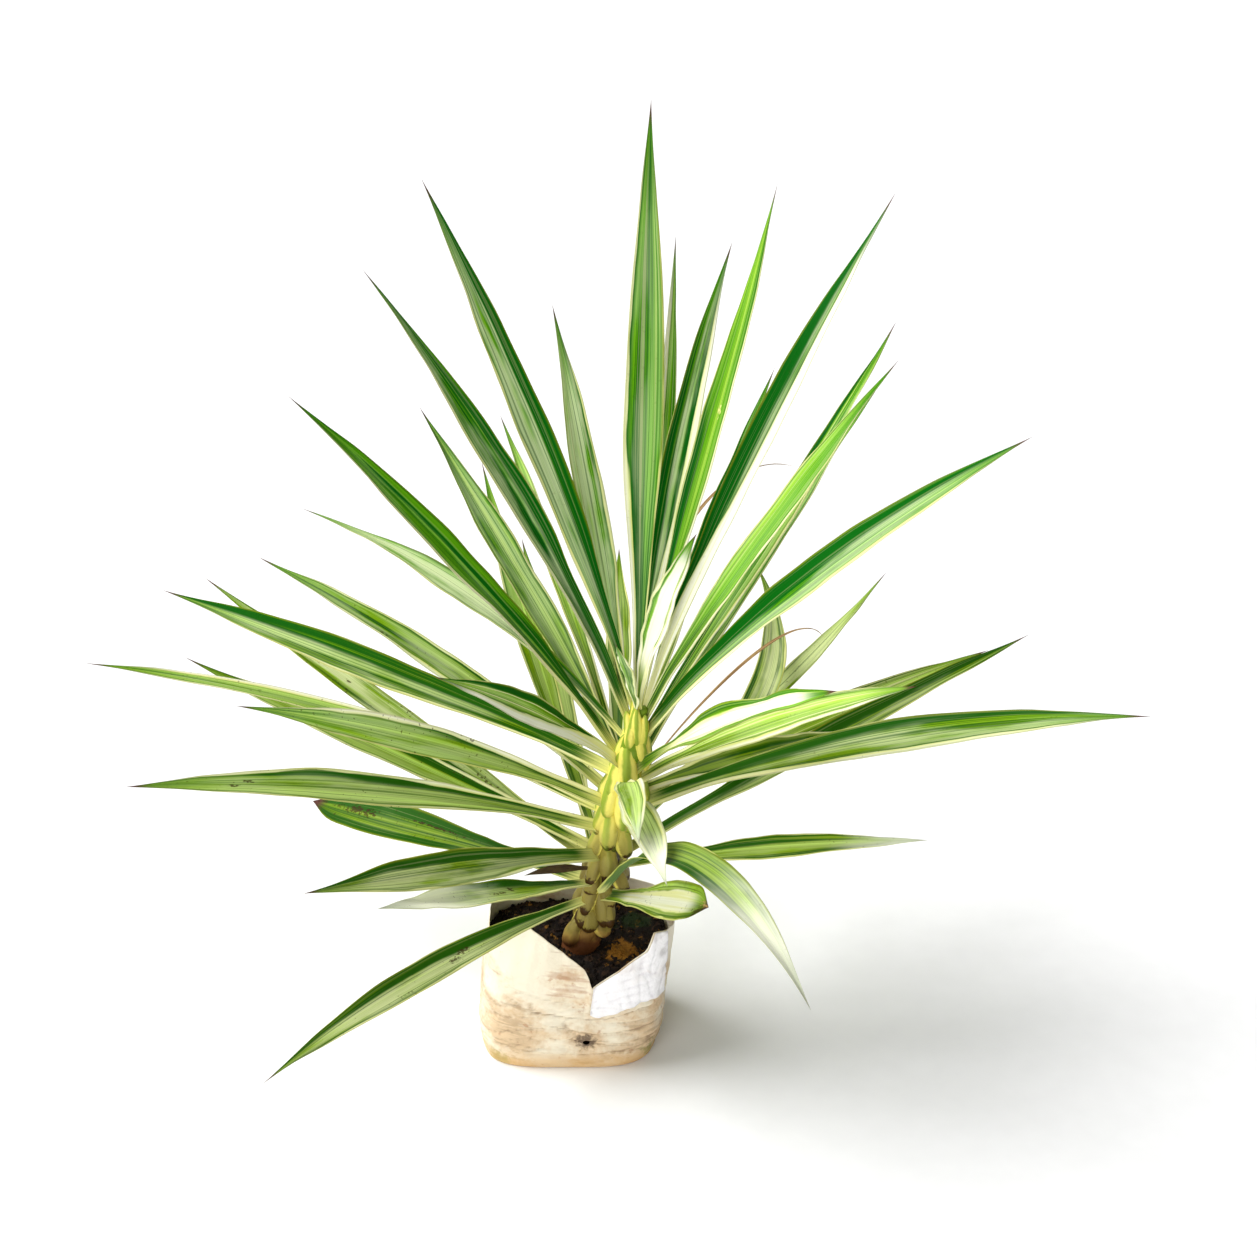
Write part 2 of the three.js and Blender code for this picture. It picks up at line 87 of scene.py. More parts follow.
# Lower edge of the folded flap, and sagging folds of the film, by degrees from the split.
FLAP_EDGE = ((0.6, 60), (3, 58), (8, 57), (18, 63), (30, 69.5), (39, 71), (47, 73))
FLAP_COLUMNS = 90
FLAP_ROWS = 36
FILM_FOLDS = (
    (((-48, 64), (-20, 57), (0, 54), (10, 53), (30, 62), (50, 66)), 0.9),
    (((-36, 49), (-10, 43), (8, 39), (40, 42)), 0.8),
    (((-56, 84), (-34, 75), (-12, 71)), 0.7),
    (((-50, 22), (-12, 15), (24, 19), (52, 26)), 0.7),
    (((-20, 34), (4, 31), (34, 36)), 0.5),
)
# Random creases low on the film: how often round the bag, how tall and how deep.
SLACK_CREASES = ((1.3, 8, 2), (1.8, 4.5, 1))
# The creases fade out, and the looser rim begins, within this height at FOLD_LEVEL.
FADE = 20
# Heights between which a raised seam runs up to the bottom of the split.
SPLIT_SEAM = (58, 90)
# The film may stand this far behind or in front of the plain bag.
DEEPEST = -2.4
PROUDEST = 2

# Marks on the bag and the soil: middle and radius in millimetres.
RUST_MARKS = (((-14, -64, 96), 34), ((2, -64, 88), 24))
LEFT_ALGAE = ((-66, -52, 4), 26)
RIGHT_ALGAE = ((70, -50, 8), 22)
SMUDGE = ((76, -49, 113), 9)
DRAIN_FACE = -67
DRAIN_GRIME = 17
STRAW_PATCH = ((43, -12, 87), 24)
MOSS_PATCH = ((50, 30, 91), 26)

# Height in metres at which rays find the soil's outline, and the rings and sides of its top.
SOIL_LEVEL = 0.07
SOIL_RINGS = 46
SOIL_SIDES = 144
# The visible soil's gap to the side of the CAD soil. Its own sides end at this height above the
# CAD soil's base, narrowed to this share.
SOIL_GAP = 0.2 * MM
SOIL_END = 30 * MM
SOIL_NARROW = 0.92

# The spiral of leaf bases on the stem.
GOLDEN_ANGLE = math.radians(137.5)
FIRST_TURN = 3.6
# How far below a leaf's foot its base sits, and how much the base follows the leaf's direction.
BASE_DROP = 4 * MM
FOLLOW = 0.7
# A leaf base's size against the usual one: below a withered leaf, below a high leaf, in the spiral,
# high in the spiral, and at the swollen foot of the stem.
DRY_BASE = 0.45
HIGH_BASE = 0.72
SPIRAL_BASE = 1.15
HIGH_SPIRAL_BASE = 0.7
CROWN_BASE = 1.95
# How far the lowest bases lean out, how much of that is lost up the stem, and within what height.
LEAN = 0.55
LEAN_LOST = 0.3
LEAN_HEIGHT = 90 * MM
# Heights in metres between which the stem's colours change.
LEAFY_HEIGHT = (0.17, 0.24)
TAN_HEIGHT = (0.096, 0.118)
RING_HEIGHT = (0.097, 0.111)

# A CAD leaf's cross-section has six points, and its tip is the sharpest point with six edges.
SECTION_POINTS = 6
LEAF_STATIONS = 12
# Seeds of the leaves' paint and shape, which step from one leaf to the next.
PAINT_SEED = 10.0
PAINT_SEED_STEP = 3.7
SHAPE_SEED_STEP = 2.3
# Shares of a leaf's length over which its ripples fade in and out.
RIPPLE_FOOT = 0.2
RIPPLE_TIP = 0.15

LEAF_GLOSS = {"Specular IOR Level": 0.04}
DULL_GLOSS = {"Specular IOR Level": 0.2}

# Places of the lights and the point that they aim at, in metres.
KEY_PLACE = (-1.35, 0.35, 2.0)
FILL_PLACE = (-0.7, -2.4, 0.75)
LIGHT_AIM = (0.05, 0, 0.3)
# The floor lies just below the bag, so that the two don't share a plane.
FLOOR_HEIGHT = -0.2 * MM
# The camera's square sensor in millimetres.
SENSOR = 36

# How each leaf is marked. left and right are seen from its foot towards its tip.
# light: how light the green is, its own depth plus painted sheen; dark: which half of the channel is darker
# (1 left, -1 right), a deep green stripe plus painted shade; bloom: waxy grey, partly painted sheen;
# left, right: width of the cream margins; streaks: cream lines; core: a white middle;
# pale: a bleached end; spots: brown specks; marks: blemishes as across, along, half width, half length.
LEAF_LOOKS = {
    "leaf_01": dict(light=0.6, core=0.9, left=0.12, right=0.2, streaks=0.6),
    "leaf_02": dict(light=0.6, bloom=0.6, left=0.12, right=0.3),
    "leaf_03": dict(light=0.32, left=0.12, right=0.04, streaks=0.3, bloom=0.25),
    "leaf_04": dict(light=0.35, dark=-1, bloom=0.9, left=0.07, right=0.03),
    "leaf_05": dict(
        light=0.55, dark=0.3, left=0.05, right=0.12, bloom=0.05,
        marks=((0.4, 0.585, 0.1, 0.018, "foot"),),
    ),
    "leaf_06": dict(light=0.25, dark=1, bloom=0.5, left=0.02, right=0.42),
    "leaf_07": dict(light=0.6, left=0.36, right=0.1, streaks=0.4),
    "leaf_08": dict(light=0.45, dark=-0.6, bloom=0.85, left=0.12, right=0.03),
    "leaf_09": dict(light=0.45, bloom=0.12, left=0.06, right=0.1, streaks=0.25),
    "leaf_10": dict(light=0.3, dark=0.8, bloom=0.9, left=0.02, right=0.26),
    "leaf_11": dict(light=0.5, bloom=0.95, left=0.03, right=0.09, streaks=0.3),
    "leaf_12": dict(light=0.45, dark=-0.9, bloom=0.15, left=0.14, right=0.02),
    "leaf_13": dict(light=0.35, dark=0.9, bloom=0.55, left=0.02, right=0.1),
    "leaf_14": dict(light=0.6, dark=0.4, bloom=0.3, left=0.03, right=0.1, streaks=0.6),
    "leaf_15": dict(light=0.5, bloom=0.4, left=0.1, right=0.1),
    "leaf_16": dict(light=0.65, dark=-0.5, left=0.4, right=0.04, streaks=0.9),
    "leaf_17": dict(light=0.5, core=0.95, left=0.02, right=0.02, bloom=0.1),
    "leaf_18": dict(light=0.4, dark=0.5, left=0.04, right=0.08),
    "leaf_19": dict(light=0.55, dark=-0.3, bloom=1.0, left=0.1, right=0.03),
    "leaf_20": dict(light=0.55, bloom=0.6, left=0.04, right=0.08),
    "leaf_21": dict(light=0.7, bloom=0.5, left=0.16, right=0.1, pale=0.75),
    "leaf_22": dict(light=0.4, dark=0.5, bloom=0.3, left=0.03, right=0.1),
    "leaf_23": dict(light=0.5, dark=-0.7, bloom=0.6, left=0.1, right=0.03),
    "leaf_24": dict(light=0.7, left=0.1, right=0.2, streaks=0.8, spots=0.4),
    "leaf_25": dict(light=0.45, bloom=0.3),
    "leaf_26": dict(light=0.75, bloom=0.7, left=0.14, right=0.18, pale=0.6),
    "leaf_27": dict(light=0.3, bloom=0.2, left=0.1, right=0.2),
    "leaf_28": dict(light=0.55, dark=-0.3, bloom=0.5, left=0.12, spots=0.7, marks=((0.8, 0.64, 0.1, 0.018),)),
    "leaf_29": dict(light=0.5, dark=0.3, bloom=0.8, left=0.08, right=0.06),
    "leaf_30": dict(light=0.6, dark=-0.3, bloom=0.45, left=0.05, right=0.15, spots=0.8),
    "leaf_31": dict(light=0.55, dark=0.4, bloom=0.75, left=0.03, right=0.14, spots=0.3),
    "leaf_32": dict(light=0.65, dark=0.3, left=0.05, right=0.24, streaks=0.9, spots=0.5),
    "leaf_33": dict(light=0.7, left=0.1, right=0.2, streaks=0.4, spots=0.6),
    "leaf_34": dict(light=0.55, bloom=0.9, left=0.06, right=0.04, spots=0.6),
    "leaf_35": dict(
        light=0.6, dark=-0.4, bloom=0.5, left=0.08, spots=0.7,
        marks=((0.4, 0.76, 0.09, 0.016), (0.6, 0.79, 0.1, 0.018)),
    ),
    "leaf_36": dict(light=0.5, bloom=0.3, left=0.08, right=0.08, spots=0.5),
    "leaf_37": dict(light=0.25, dark=0.9, bloom=0.5, left=0.02, right=0.06),
    "leaf_38": dict(light=0.45, dark=-0.6, bloom=0.3, left=0.1, spots=1.0),
    "leaf_39": dict(light=0.45, bloom=0.5, left=0.06, right=0.1),
    "leaf_40": dict(
        light=0.6, bloom=1.0, left=0.04, right=0.04, spots=0.9,
        marks=((0.55, 0.7, 0.07, 0.013), (0.45, 0.62, 0.06, 0.01)),
    ),
    "leaf_41": dict(light=0.5, dark=-0.6, bloom=0.8, left=0.08, right=0.02),
    "leaf_42": dict(light=0.2, dark=-1, bloom=0.2, left=0.02, right=0.02, pale=0.6),
    "leaf_43": dict(
        light=0.15, dark=-0.4, bloom=0.1, left=0.04, right=0.02, spots=0.7,
        marks=((0.42, 0.84, 0.16, 0.09), (0.3, 0.55, 0.05, 0.16)),
    ),
    "leaf_44": dict(light=0.5, dark=0.5, bloom=0.3, left=0.05, right=0.08, spots=0.6, pale=0.7),
    "leaf_45": dict(
        light=0.65, dark=-0.4, bloom=0.6, left=0.1, right=0.02, pale=0.45, spots=0.6,
        marks=((0.4, 0.4, 0.1, 0.02), (0.5, 0.46, 0.07, 0.05)),
    ),
    "leaf_46": dict(
        light=0.55, core=0.9, left=0.05, right=0.05, spots=0.8,
        marks=((0.2, 0.95, 0.35, 0.065), (0.6, 0.97, 0.28, 0.05, "dry")),
    ),
    "leaf_47": dict(
        light=0.45, dark=-0.7, bloom=0.9, left=0.08, right=0.03, spots=0.6,
        marks=((0.45, 0.42, 0.17, 0.032), (0.6, 0.45, 0.14, 0.026)),
    ),
}
# What holds for a leaf that doesn't say otherwise. pale=2 is past the tip, so nothing is bleached.
PLAIN_LOOK = dict(
    light=0.5, dark=0.0, bloom=0.3, left=0.1, right=0.1, streaks=0.12, core=0.0, pale=2.0, spots=0.15,
    marks=(),
)
# The inputs of the leaf pattern that these values go to.
LOOK_INPUTS = {
    "light": "Light",
    "dark": "Dark side",
    "bloom": "Bloom",
    "left": "Left",
    "right": "Right",
    "streaks": "Streaks",
    "core": "Core",
    "pale": "Pale",
    "spots": "Spots",
}
# Noise on a blade: how quickly it changes across and along it, and its shift.
STRIPE_NOISE = {
    "drift": (0.5, 4.0, 11.0),
    "broad": (3.0, 0.9, 0.0),
    "middle": (9.0, 1.1, 3.0),
    "fine": (34.0, 1.8, 5.0),
    "patches": (2.2, 5.0, 7.0),
    "veins": (26.0, 0.6, 47.0),
    "wobble": (0.3, 7.0, 17.0),
    "narrow": (15.0, 0.5, 23.0),
    "ribs": (70.0, 2.0, 41.0),
    "specks": (9.0, 130.0, 31.0),
    "gathered": (2.0, 9.0, 37.0),
}
# Where each part of a blade's pattern begins and where it is full. Heights are in metres.
# Along the blade 0 is its foot and 1 its tip. Across it 1 is the margin.
BANDS = {
    "young, by height": (0.26, 0.44),
    "low, along": (0.08, 0.5),
    "dark half": (-0.05, 0.12),
    "body green": (-0.05, 0.45),
    "bright green": (0.36, 1.1),
    "wax_and_sheen": (0.28, 0.56),
    "end of wax, along": (0.72, 0.95),
    "veins": (0.57, 0.63),
    "outline of green": (0.84, 0.99),
    "streaks": (0.62, 0.66),
    "core": (0.0, 0.14),
    "start of core, along": (0.12, 0.3),
    "end of core, along": (0.85, 0.97),
    "cream": (1.0, 1.07),
    "end of cream, along": (0.8, 0.97),
    "yellow in cream": (0.4, 0.64),
    "yellow line": (1.03, 1.3),
    "foot, along": (0.02, 0.1),
    "underside": (0.2, 0.5),
    "tip, along": (0.8, 0.97),
    "rim, across": (0.84, 0.96),
    "spine, along": (0.94, 0.98),
    "specks": (0.72, 0.78),
}


def tint(code):
    """A colour written as red, green and blue in hexadecimal, as linear values."""
    parts = [int(code[i:i + 2], 16) / 255 for i in (0, 2, 4)]
    return [p / 12.92 if p <= 0.04045 else ((p + 0.055) / 1.055) ** 2.4 for p in parts] + [1.0]


def colour(name, description, code):
    return bpy.props.FloatVectorProperty(
        name=name, description=description, subtype="COLOR", size=4, min=0, max=1, default=tint(code)
    )


def length(name, description, value):
    return bpy.props.FloatProperty(name=name, description=description, default=value * MM, unit="LENGTH")


def amount(name, description, value):
    return bpy.props.FloatProperty(name=name, description=description, default=value)


def angle(name, description, degrees):
    return bpy.props.FloatProperty(
        name=name, description=description, default=math.radians(degrees), subtype="ANGLE"
    )


def count(name, description, value):
    return bpy.props.IntProperty(name=name, description=description, default=value, min=1)


class YUCCA_PG_leaves(bpy.types.PropertyGroup):
    steps: count("Steps", "Cross-sections between two of the CAD leaf's", 4)
    around: count("Points around", "Points around a cross-section", 28)
    valley: amount("Valley", "1 is a straight V, 2 is a round channel", 1.45)
    edge: amount("Edge", "How blunt the margin is", 0.4)
    ripple: length("Ripple", "Unevenness of the margins", 1.5)
    shrink: amount("Shrink", "Width of a withered leaf against its CAD solid", 0.7)
    deep: colour("Deep green", "Shaded stripes", "045C0A")
    green: colour("Green", "Body of the blade", "62A60C")
    bright: colour("Bright green", "Young, lit stripes", "B2DC44")
    bloom: colour("Bloom", "Waxy grey-green film", "D6E1B2")
    old_deep: colour("Old deep green", "Shaded stripes of the lower leaves", "235606")
    old_green: colour("Old green", "Body of the lower leaves", "7A9A0A")
    old_bloom: colour("Old bloom", "Waxy film on the lower leaves", "D4DAA4")
    cream: colour("Cream", "Margins and streaks", "FCFBE6")
    foot: colour("Foot", "Yellow base of the blade", "E9E68E")
    yellow: colour("Yellow", "Line between green and cream", "C9D24A")
    spine: colour("Spine", "Brown point", "5B3A33")
    rim: colour("Rim line", "Thin olive line on the margin", "8C9220")
    blemish: colour("Blemish", "Scars and specks", "3A2413")
    dry: colour("Dry", "Withered leaf", "C9A468")
    dry_dark: colour("Dry dark", "Folds of a withered leaf", "8A6238")
    # Partly painted shade: this colour is kept dark to stand for the shade beneath the low leaf bases.
    rotten_and_shade: colour("Rotten", "Withered leaf near the soil", "54401F")


class YUCCA_PG_stem(bpy.types.PropertyGroup):
    bare: count("Bare bases", "Leaf bases in the spiral up the stem", 30)
    lowest: length("Lowest", "Height of the lowest leaf base", 106)
    pitch: length("Pitch", "Rise from one base to the next", 7)
    top: length("Top", "Height above which leaf bases are slimmer", 285)
    crown_foot: length("Crown foot", "Height of the swollen foot of the stem", 98)
    width: length("Width", "Half the width of a leaf base", 8)
    height: length("Height", "Half the height of a leaf base", 15)
    depth: length("Depth", "Half the depth of a leaf base", 7.6)
    sheath: amount("Sheath", "How much longer a base below a leaf is", 1.7)
    taper: amount("Taper", "How much slimmer a base is at its top", 0.22)
    waist: length("Waist", "How far the core lies behind the CAD stem", 3)
    flesh: colour("Flesh", "Pale yellow leaf base", "FFF276")
    green: colour("Green", "Greener part of a leaf base", "D2C848")
    olive: colour("Olive", "Darker sides of a low leaf base", "7C6A14")
    seam: colour("Seam", "Brown line between leaf bases", "402A0A")
    leafy: colour("Leafy", "Green of the bases high on the stem", "6E9418")
    crown: colour("Crown", "Tan foot of the stem", "F2C468")
    ring: colour("Ring", "Red-brown ring at the soil", "561E14")


class YUCCA_PG_soil(bpy.types.PropertyGroup):
    crumbs: amount("Crumbs", "Crumbs on a square metre of soil", 70000)
    largest: length("Largest", "Half the width of the largest crumb", 2.3)
    smallest: length("Smallest", "Half the width of the smallest crumb", 0.6)
    relief: length("Relief", "Height of the soil's small lumps", 3)
    earth: colour("Earth", "Moist soil", "140B07")
    dry: colour("Dry earth", "Drier crumbs", "38261A")
    straw: colour("Straw", "Yellow-brown debris", "9C6A22")
    moss: colour("Moss", "Dark green patch", "1F3313")


class YUCCA_PG_bag(bpy.types.PropertyGroup):
    film_gauge: length("Film", "Thickness of the film", 0.5)
    around: count("Around", "Faces around the bag", 260)
    upward: count("Upward", "Faces from the base to the rim", 84)
    hole: length("Drain hole", "Width of a drain hole", 6)
    hole_x: length("Drain hole place", "Sideways place of the drain holes", 11)
    hole_z: length("Drain hole height", "Height of the drain holes", 29)
    film: colour("Film", "Clean white film", "E8DEC6")
    stain: colour("Stain", "Tan soil stains", "C49A60")
    rust: colour("Rust stain", "Pink-brown blotches", "B07C58")
    sole: colour("Sole", "Tan dirt round the base", "D0A25A")
    # Used for the hairlines, and for dirt and painted shade in the creases.
    crease: colour("Crease", "Dirt in the creases", "6E5236")
    algae: colour("Algae", "Green growth in the corners", "7F8A3A")
    flap: colour("Flap", "Inner face of the film", "F2F0F1")
    # Painted shade in the flap's folds.
    fold: colour("Fold", "Grey in the flap's folds", "A9A2AE")
    grime: colour("Grime", "Dark dirt by the drain hole", "3B2618")


class YUCCA_PG_stage(bpy.types.PropertyGroup):
    floor: colour("Floor", "Plain pale floor", "FAFAFA")
    grain: colour("Floor grain", "Slightly darker grain of the floor", "F4F4F4")
    reach: length("Floor reach", "From the middle of the floor to its edge", 6000)
    lens: bpy.props.FloatProperty(name="Lens", description="Focal length", default=73, unit="CAMERA")
    tilt: angle("Tilt", "How far the camera looks down", 28)
    distance: length("Distance", "From the camera to its target", 2090)
    target_x: length("Target X", "Middle of the picture", 48)
    target_z: length("Target Z", "Middle of the picture", 399.5)
    key: amount("Key", "Main light from the upper left", 4.1)
    softness: angle("Softness", "Spread of the main light", 50)
    fill: bpy.props.FloatProperty(name="Fill", description="Low front light", default=33, unit="POWER")
    fill_size: length("Fill size", "Width of the low light", 1400)
    sky: amount("Sky", "Even light from all round", 0.25)


class Wire:
    """An output of a node. Sums on it add Math nodes."""

    def __init__(self, board, socket):
        self.board = board
        self.socket = socket

    def __add__(self, other):
        return self.board.maths("ADD", self, other)

    def __sub__(self, other):
        return self.board.maths("SUBTRACT", self, other)

    def __rsub__(self, other):
        return self.board.maths("SUBTRACT", other, self)

    def __mul__(self, other):
        return self.board.maths("MULTIPLY", self, other)

    def __truediv__(self, other):
        return self.board.maths("DIVIDE", self, other)

    def __pow__(self, other):
        return self.board.maths("POWER", self, other)

    def __abs__(self):
        return self.board.maths("ABSOLUTE", self)

    __radd__ = __add__
    __rmul__ = __mul__

    def sway(self, reach):
        """Noise between 0 and 1 as a swing to both sides of 0."""
        return (self - 0.5) * reach


class Board:
    """A node tree that is being wired up."""

    def __init__(self, tree):
        self.tree = tree

    @staticmethod
    def pick(sockets, key):
        """A socket by its place, name or identifier."""
        if isinstance(key, int):
            return sockets[key]
        for socket in sockets:
            if socket.enabled and key in (socket.name, socket.identifier):
                return socket
        raise KeyError(key)

    def node(self, kind, settings=None, values=None, output=0):
        """A new node: settings first, then values or links of its sockets. Returns one output."""
        made = self.tree.nodes.new(kind)
        for key, value in (settings or {}).items():
            setattr(made, key, value)
        for key, value in (values or {}).items():
            socket = self.pick(made.inputs, key)
            if isinstance(value, Wire):
                self.tree.links.new(value.socket, socket)
            else:
                socket.default_value = value
        if not made.outputs:
            return made
        return Wire(self, self.pick(made.outputs, output))

    def other(self, wire, output):
        """Another output of the node that a wire comes from."""
        return Wire(self, self.pick(wire.socket.node.outputs, output))

    def maths(self, operation, *values):
        return self.node("ShaderNodeMath", {"operation": operation}, dict(enumerate(values)))

    def vector(self, operation, *values):
        return self.node("ShaderNodeVectorMath", {"operation": operation}, dict(enumerate(values)))

    def scaled(self, vector, factor):
        return self.node("ShaderNodeVectorMath", {"operation": "SCALE"}, {0: vector, "Scale": factor})

    def join(self, x, y, z):
        return self.node("ShaderNodeCombineXYZ", values={0: x, 1: y, 2: z})

    def split(self, vector):
        first = self.node("ShaderNodeSeparateXYZ", values={0: vector})
        return first, self.other(first, 1), self.other(first, 2)

    def most(self, one, other):
        return self.maths("MAXIMUM", one, other)

    def blend(self, low, high, factor):
        low, high = (tone if isinstance(tone, Wire) else tuple(tone) for tone in (low, high))
        return self.node(
            "ShaderNodeMix",
            {"data_type": "RGBA"},
            {"Factor_Float": factor, "A_Color": low, "B_Color": high},
            "Result_Color",
        )

    def coats(self, ground, *coats):
        """Coats of paint over a ground: a colour and how far it covers, one after another."""
        for tone, cover in coats:
            ground = self.blend(ground, tone, cover)
        return ground

    def rise(self, value, start, end):
        """0 below start, 1 above end and smooth between them."""
        return self.node(
            "ShaderNodeMapRange",
            {"interpolation_type": "SMOOTHSTEP"},
            {"Value": value, "From Min": start, "From Max": end},
            "Result",
        )

    def clouds(self, vector, scale=1.0, detail=2.0):
        values = {"Vector": vector, "Scale": scale, "Detail": detail}
        return self.node("ShaderNodeTexNoise", values=values, output="Fac")

    def object_place(self):
        return self.node("ShaderNodeTexCoord", output="Object")

    def painted_value(self, name):
        """A value that a mesh carries, in a material."""
        return self.node("ShaderNodeAttribute", {"attribute_name": name}, output="Fac")

    def carried(self, name, kind="FLOAT_VECTOR"):
        """A value that a mesh carries, in Geometry Nodes."""
        return self.node("GeometryNodeInputNamedAttribute", {"data_type": kind}, {"Name": name}, "Attribute")

    def carry(self, mesh, name, value, kind="FLOAT", domain="POINT"):
        """Lets a mesh carry a value."""
        return self.node(
            "GeometryNodeStoreNamedAttribute",
            {"data_type": kind, "domain": domain},
            {"Geometry": mesh, "Name": name, "Value": value},
        )

    def placed(self, mesh, place):
        return self.node("GeometryNodeSetPosition", values={"Geometry": mesh, "Position": place})

    def plain(self, mesh, skin):
        """Real faces with their material, as the end of a tree."""
        mesh = self.node("GeometryNodeRealizeInstances", values={"Geometry": mesh})
        return self.node("GeometryNodeSetMaterial", values={"Geometry": mesh, "Material": skin})


def new_tree(name, kind, inputs, outputs):
    """A node group with its sockets, its board and its input node."""
    tree = bpy.data.node_groups.new(name, kind)
    for way, sockets in (("INPUT", inputs), ("OUTPUT", outputs)):
        for socket, socket_kind in sockets.items():
            tree.interface.new_socket(socket, in_out=way, socket_type="NodeSocket" + socket_kind)
    board = Board(tree)
    return tree, board, board.node("NodeGroupInput")


def surface(board, colour_wire, roughness, height, depth, **fixed):
    """The shader of a finish: colour, roughness and a bump of that depth in metres."""
    relief = {"Strength": 1.0, "Distance": depth, "Height": height}
    bump = board.node("ShaderNodeBump", values=relief, output="Normal")
    values = {"Base Color": colour_wire, "Roughness": roughness, "Normal": bump, **fixed}
    shader = board.node("ShaderNodeBsdfPrincipled", values=values)
    board.node("ShaderNodeOutputMaterial", values={"Surface": shader})


def finish(name):
    """A new empty material and the board of its nodes."""
    material = bpy.data.materials.new(name)
    material.use_nodes = True
    material.node_tree.nodes.clear()
    return material, Board(material.node_tree)


def leaf_pattern(sizes):
    """The shared node group that paints a variegated blade from its UV map."""
    inputs = dict.fromkeys([*LOOK_INPUTS.values(), "Seed"], "Float")
    outputs = {"Colour": "Color", "Roughness": "Float", "Height": "Float"}
    tree, board, given = new_tree("yucca_leaf_pattern", "ShaderNodeTree", inputs, outputs)
    look = {name: board.other(given, name) for name in inputs}
    across, along, _ = board.split(board.node("ShaderNodeUVMap", {"uv_map": "UVMap"}))

    def lines(name, detail=2.0):
        wide, long, shift = STRIPE_NOISE[name]
        return board.clouds(board.join(across * wide, along * long, look["Seed"] + shift), detail=detail)

    def band(value, name):
        return board.rise(value, *BANDS[name])

    side = across * 2.0 - 1.0
    drift = lines("drift").sway(0.5)
    broad, middle, fine = lines("broad"), lines("middle"), lines("fine")
    patches = lines("patches", detail=3.0)
    height = board.split(board.object_place())[2]
    young = band(height + patches.sway(0.1), "young, by height")
    low = 1.0 - band(along, "low, along")
    deep = board.blend(sizes.old_deep, sizes.deep, young)
    body = board.blend(sizes.old_green, sizes.green, young)
    bloom = board.blend(sizes.old_bloom, sizes.bloom, young)

    # The darker half of the channel: a deep green stripe together with painted shade on the half turned from
    # the light.
    half = band(side * look["Dark side"] + drift * abs(look["Dark side"]) - along * 0.3, "dark half")
    # How light the green is: the leaf's own depth of green, painted sheen along the blade, and the painted
    # shade of the darker half.
    light = look["Light"] + broad.sway(2.0) + middle.sway(1.2) + fine.sway(0.9) - half * 0.6 - low * 0.3
    # Waxy bloom, partly painted sheen, kept off the painted shade of the darker half.
    wax_and_sheen = look["Bloom"] * band(patches + broad.sway(0.7), "wax_and_sheen") * (1.0 - half)
    wax_and_sheen = wax_and_sheen * (1.0 - band(along, "end of wax, along") * 0.7) * (1.0 - low * 0.6)
    wobble = lines("wobble").sway(0.34) + middle.sway(0.25)
    spread = 1.0 + low * 1.5
    left = side + wobble + drift * 0.3 + look["Left"] * spread * 2.0
    right = wobble - side - drift * 0.3 + look["Right"] * spread * 2.0
    outer = board.most(left, right)
    green = board.coats(
        deep,
        (body, band(light, "body green")),
        (sizes.bright, band(light, "bright green")),
        # Waxy bloom and painted sheen.
        (bloom, wax_and_sheen * (0.8 + fine.sway(0.8))),
        (deep, band(lines("veins"), "veins") * 0.6),
        (deep, band(outer, "outline of green") * 0.6),
    )

    streaks = band(lines("narrow") + abs(side) * 0.08, "streaks") * look["Streaks"]
    core = band(0.62 - abs(side) + wobble + broad.sway(0.4), "core") * look["Core"]
    core = core * band(along, "start of core, along") * (1.0 - band(along, "end of core, along"))
    cream = board.most(band(outer, "cream"), board.most(streaks, core))
    cream = cream * (1.0 - band(along, "end of cream, along") * 0.8)
    ivory = board.coats(
        sizes.cream,
        (sizes.foot, band(middle + low * 0.12 - young * 0.12, "yellow in cream") * 0.7),
        (sizes.yellow, (1.0 - band(outer, "yellow line")) * (1.0 - core) * 0.6),
    )

    bleached = board.rise(along + patches.sway(0.25), look["Pale"], look["Pale"] + 0.3)
    under = 1.0 - band(board.painted_value("upper"), "underside")
    specks = band(lines("specks", detail=1.0) + lines("gathered").sway(0.5), "specks") * look["Spots"]
    painted = board.coats(
        green,
        (ivory, cream),
        (sizes.cream, bleached * 0.85),
        (sizes.foot, (1.0 - band(along + middle.sway(0.1), "foot, along")) * 0.85),
        (bloom, under * 0.12),
        (deep, band(along, "tip, along") * 0.4),
        (sizes.rim, band(abs(side), "rim, across") * 0.55),
        (sizes.spine, band(along + fine.sway(0.02), "spine, along") * (1.0 - bleached * 0.7)),
        (sizes.blemish, specks * 0.8),
    )
    board.node("NodeGroupOutput", values={
        "Colour": painted,
        "Roughness": 0.44 + wax_and_sheen * 0.15 + patches.sway(0.12) + specks * 0.3,
        "Height": lines("ribs") * 0.6 + fine * 0.7 + broad * 0.5,
    })
    return tree


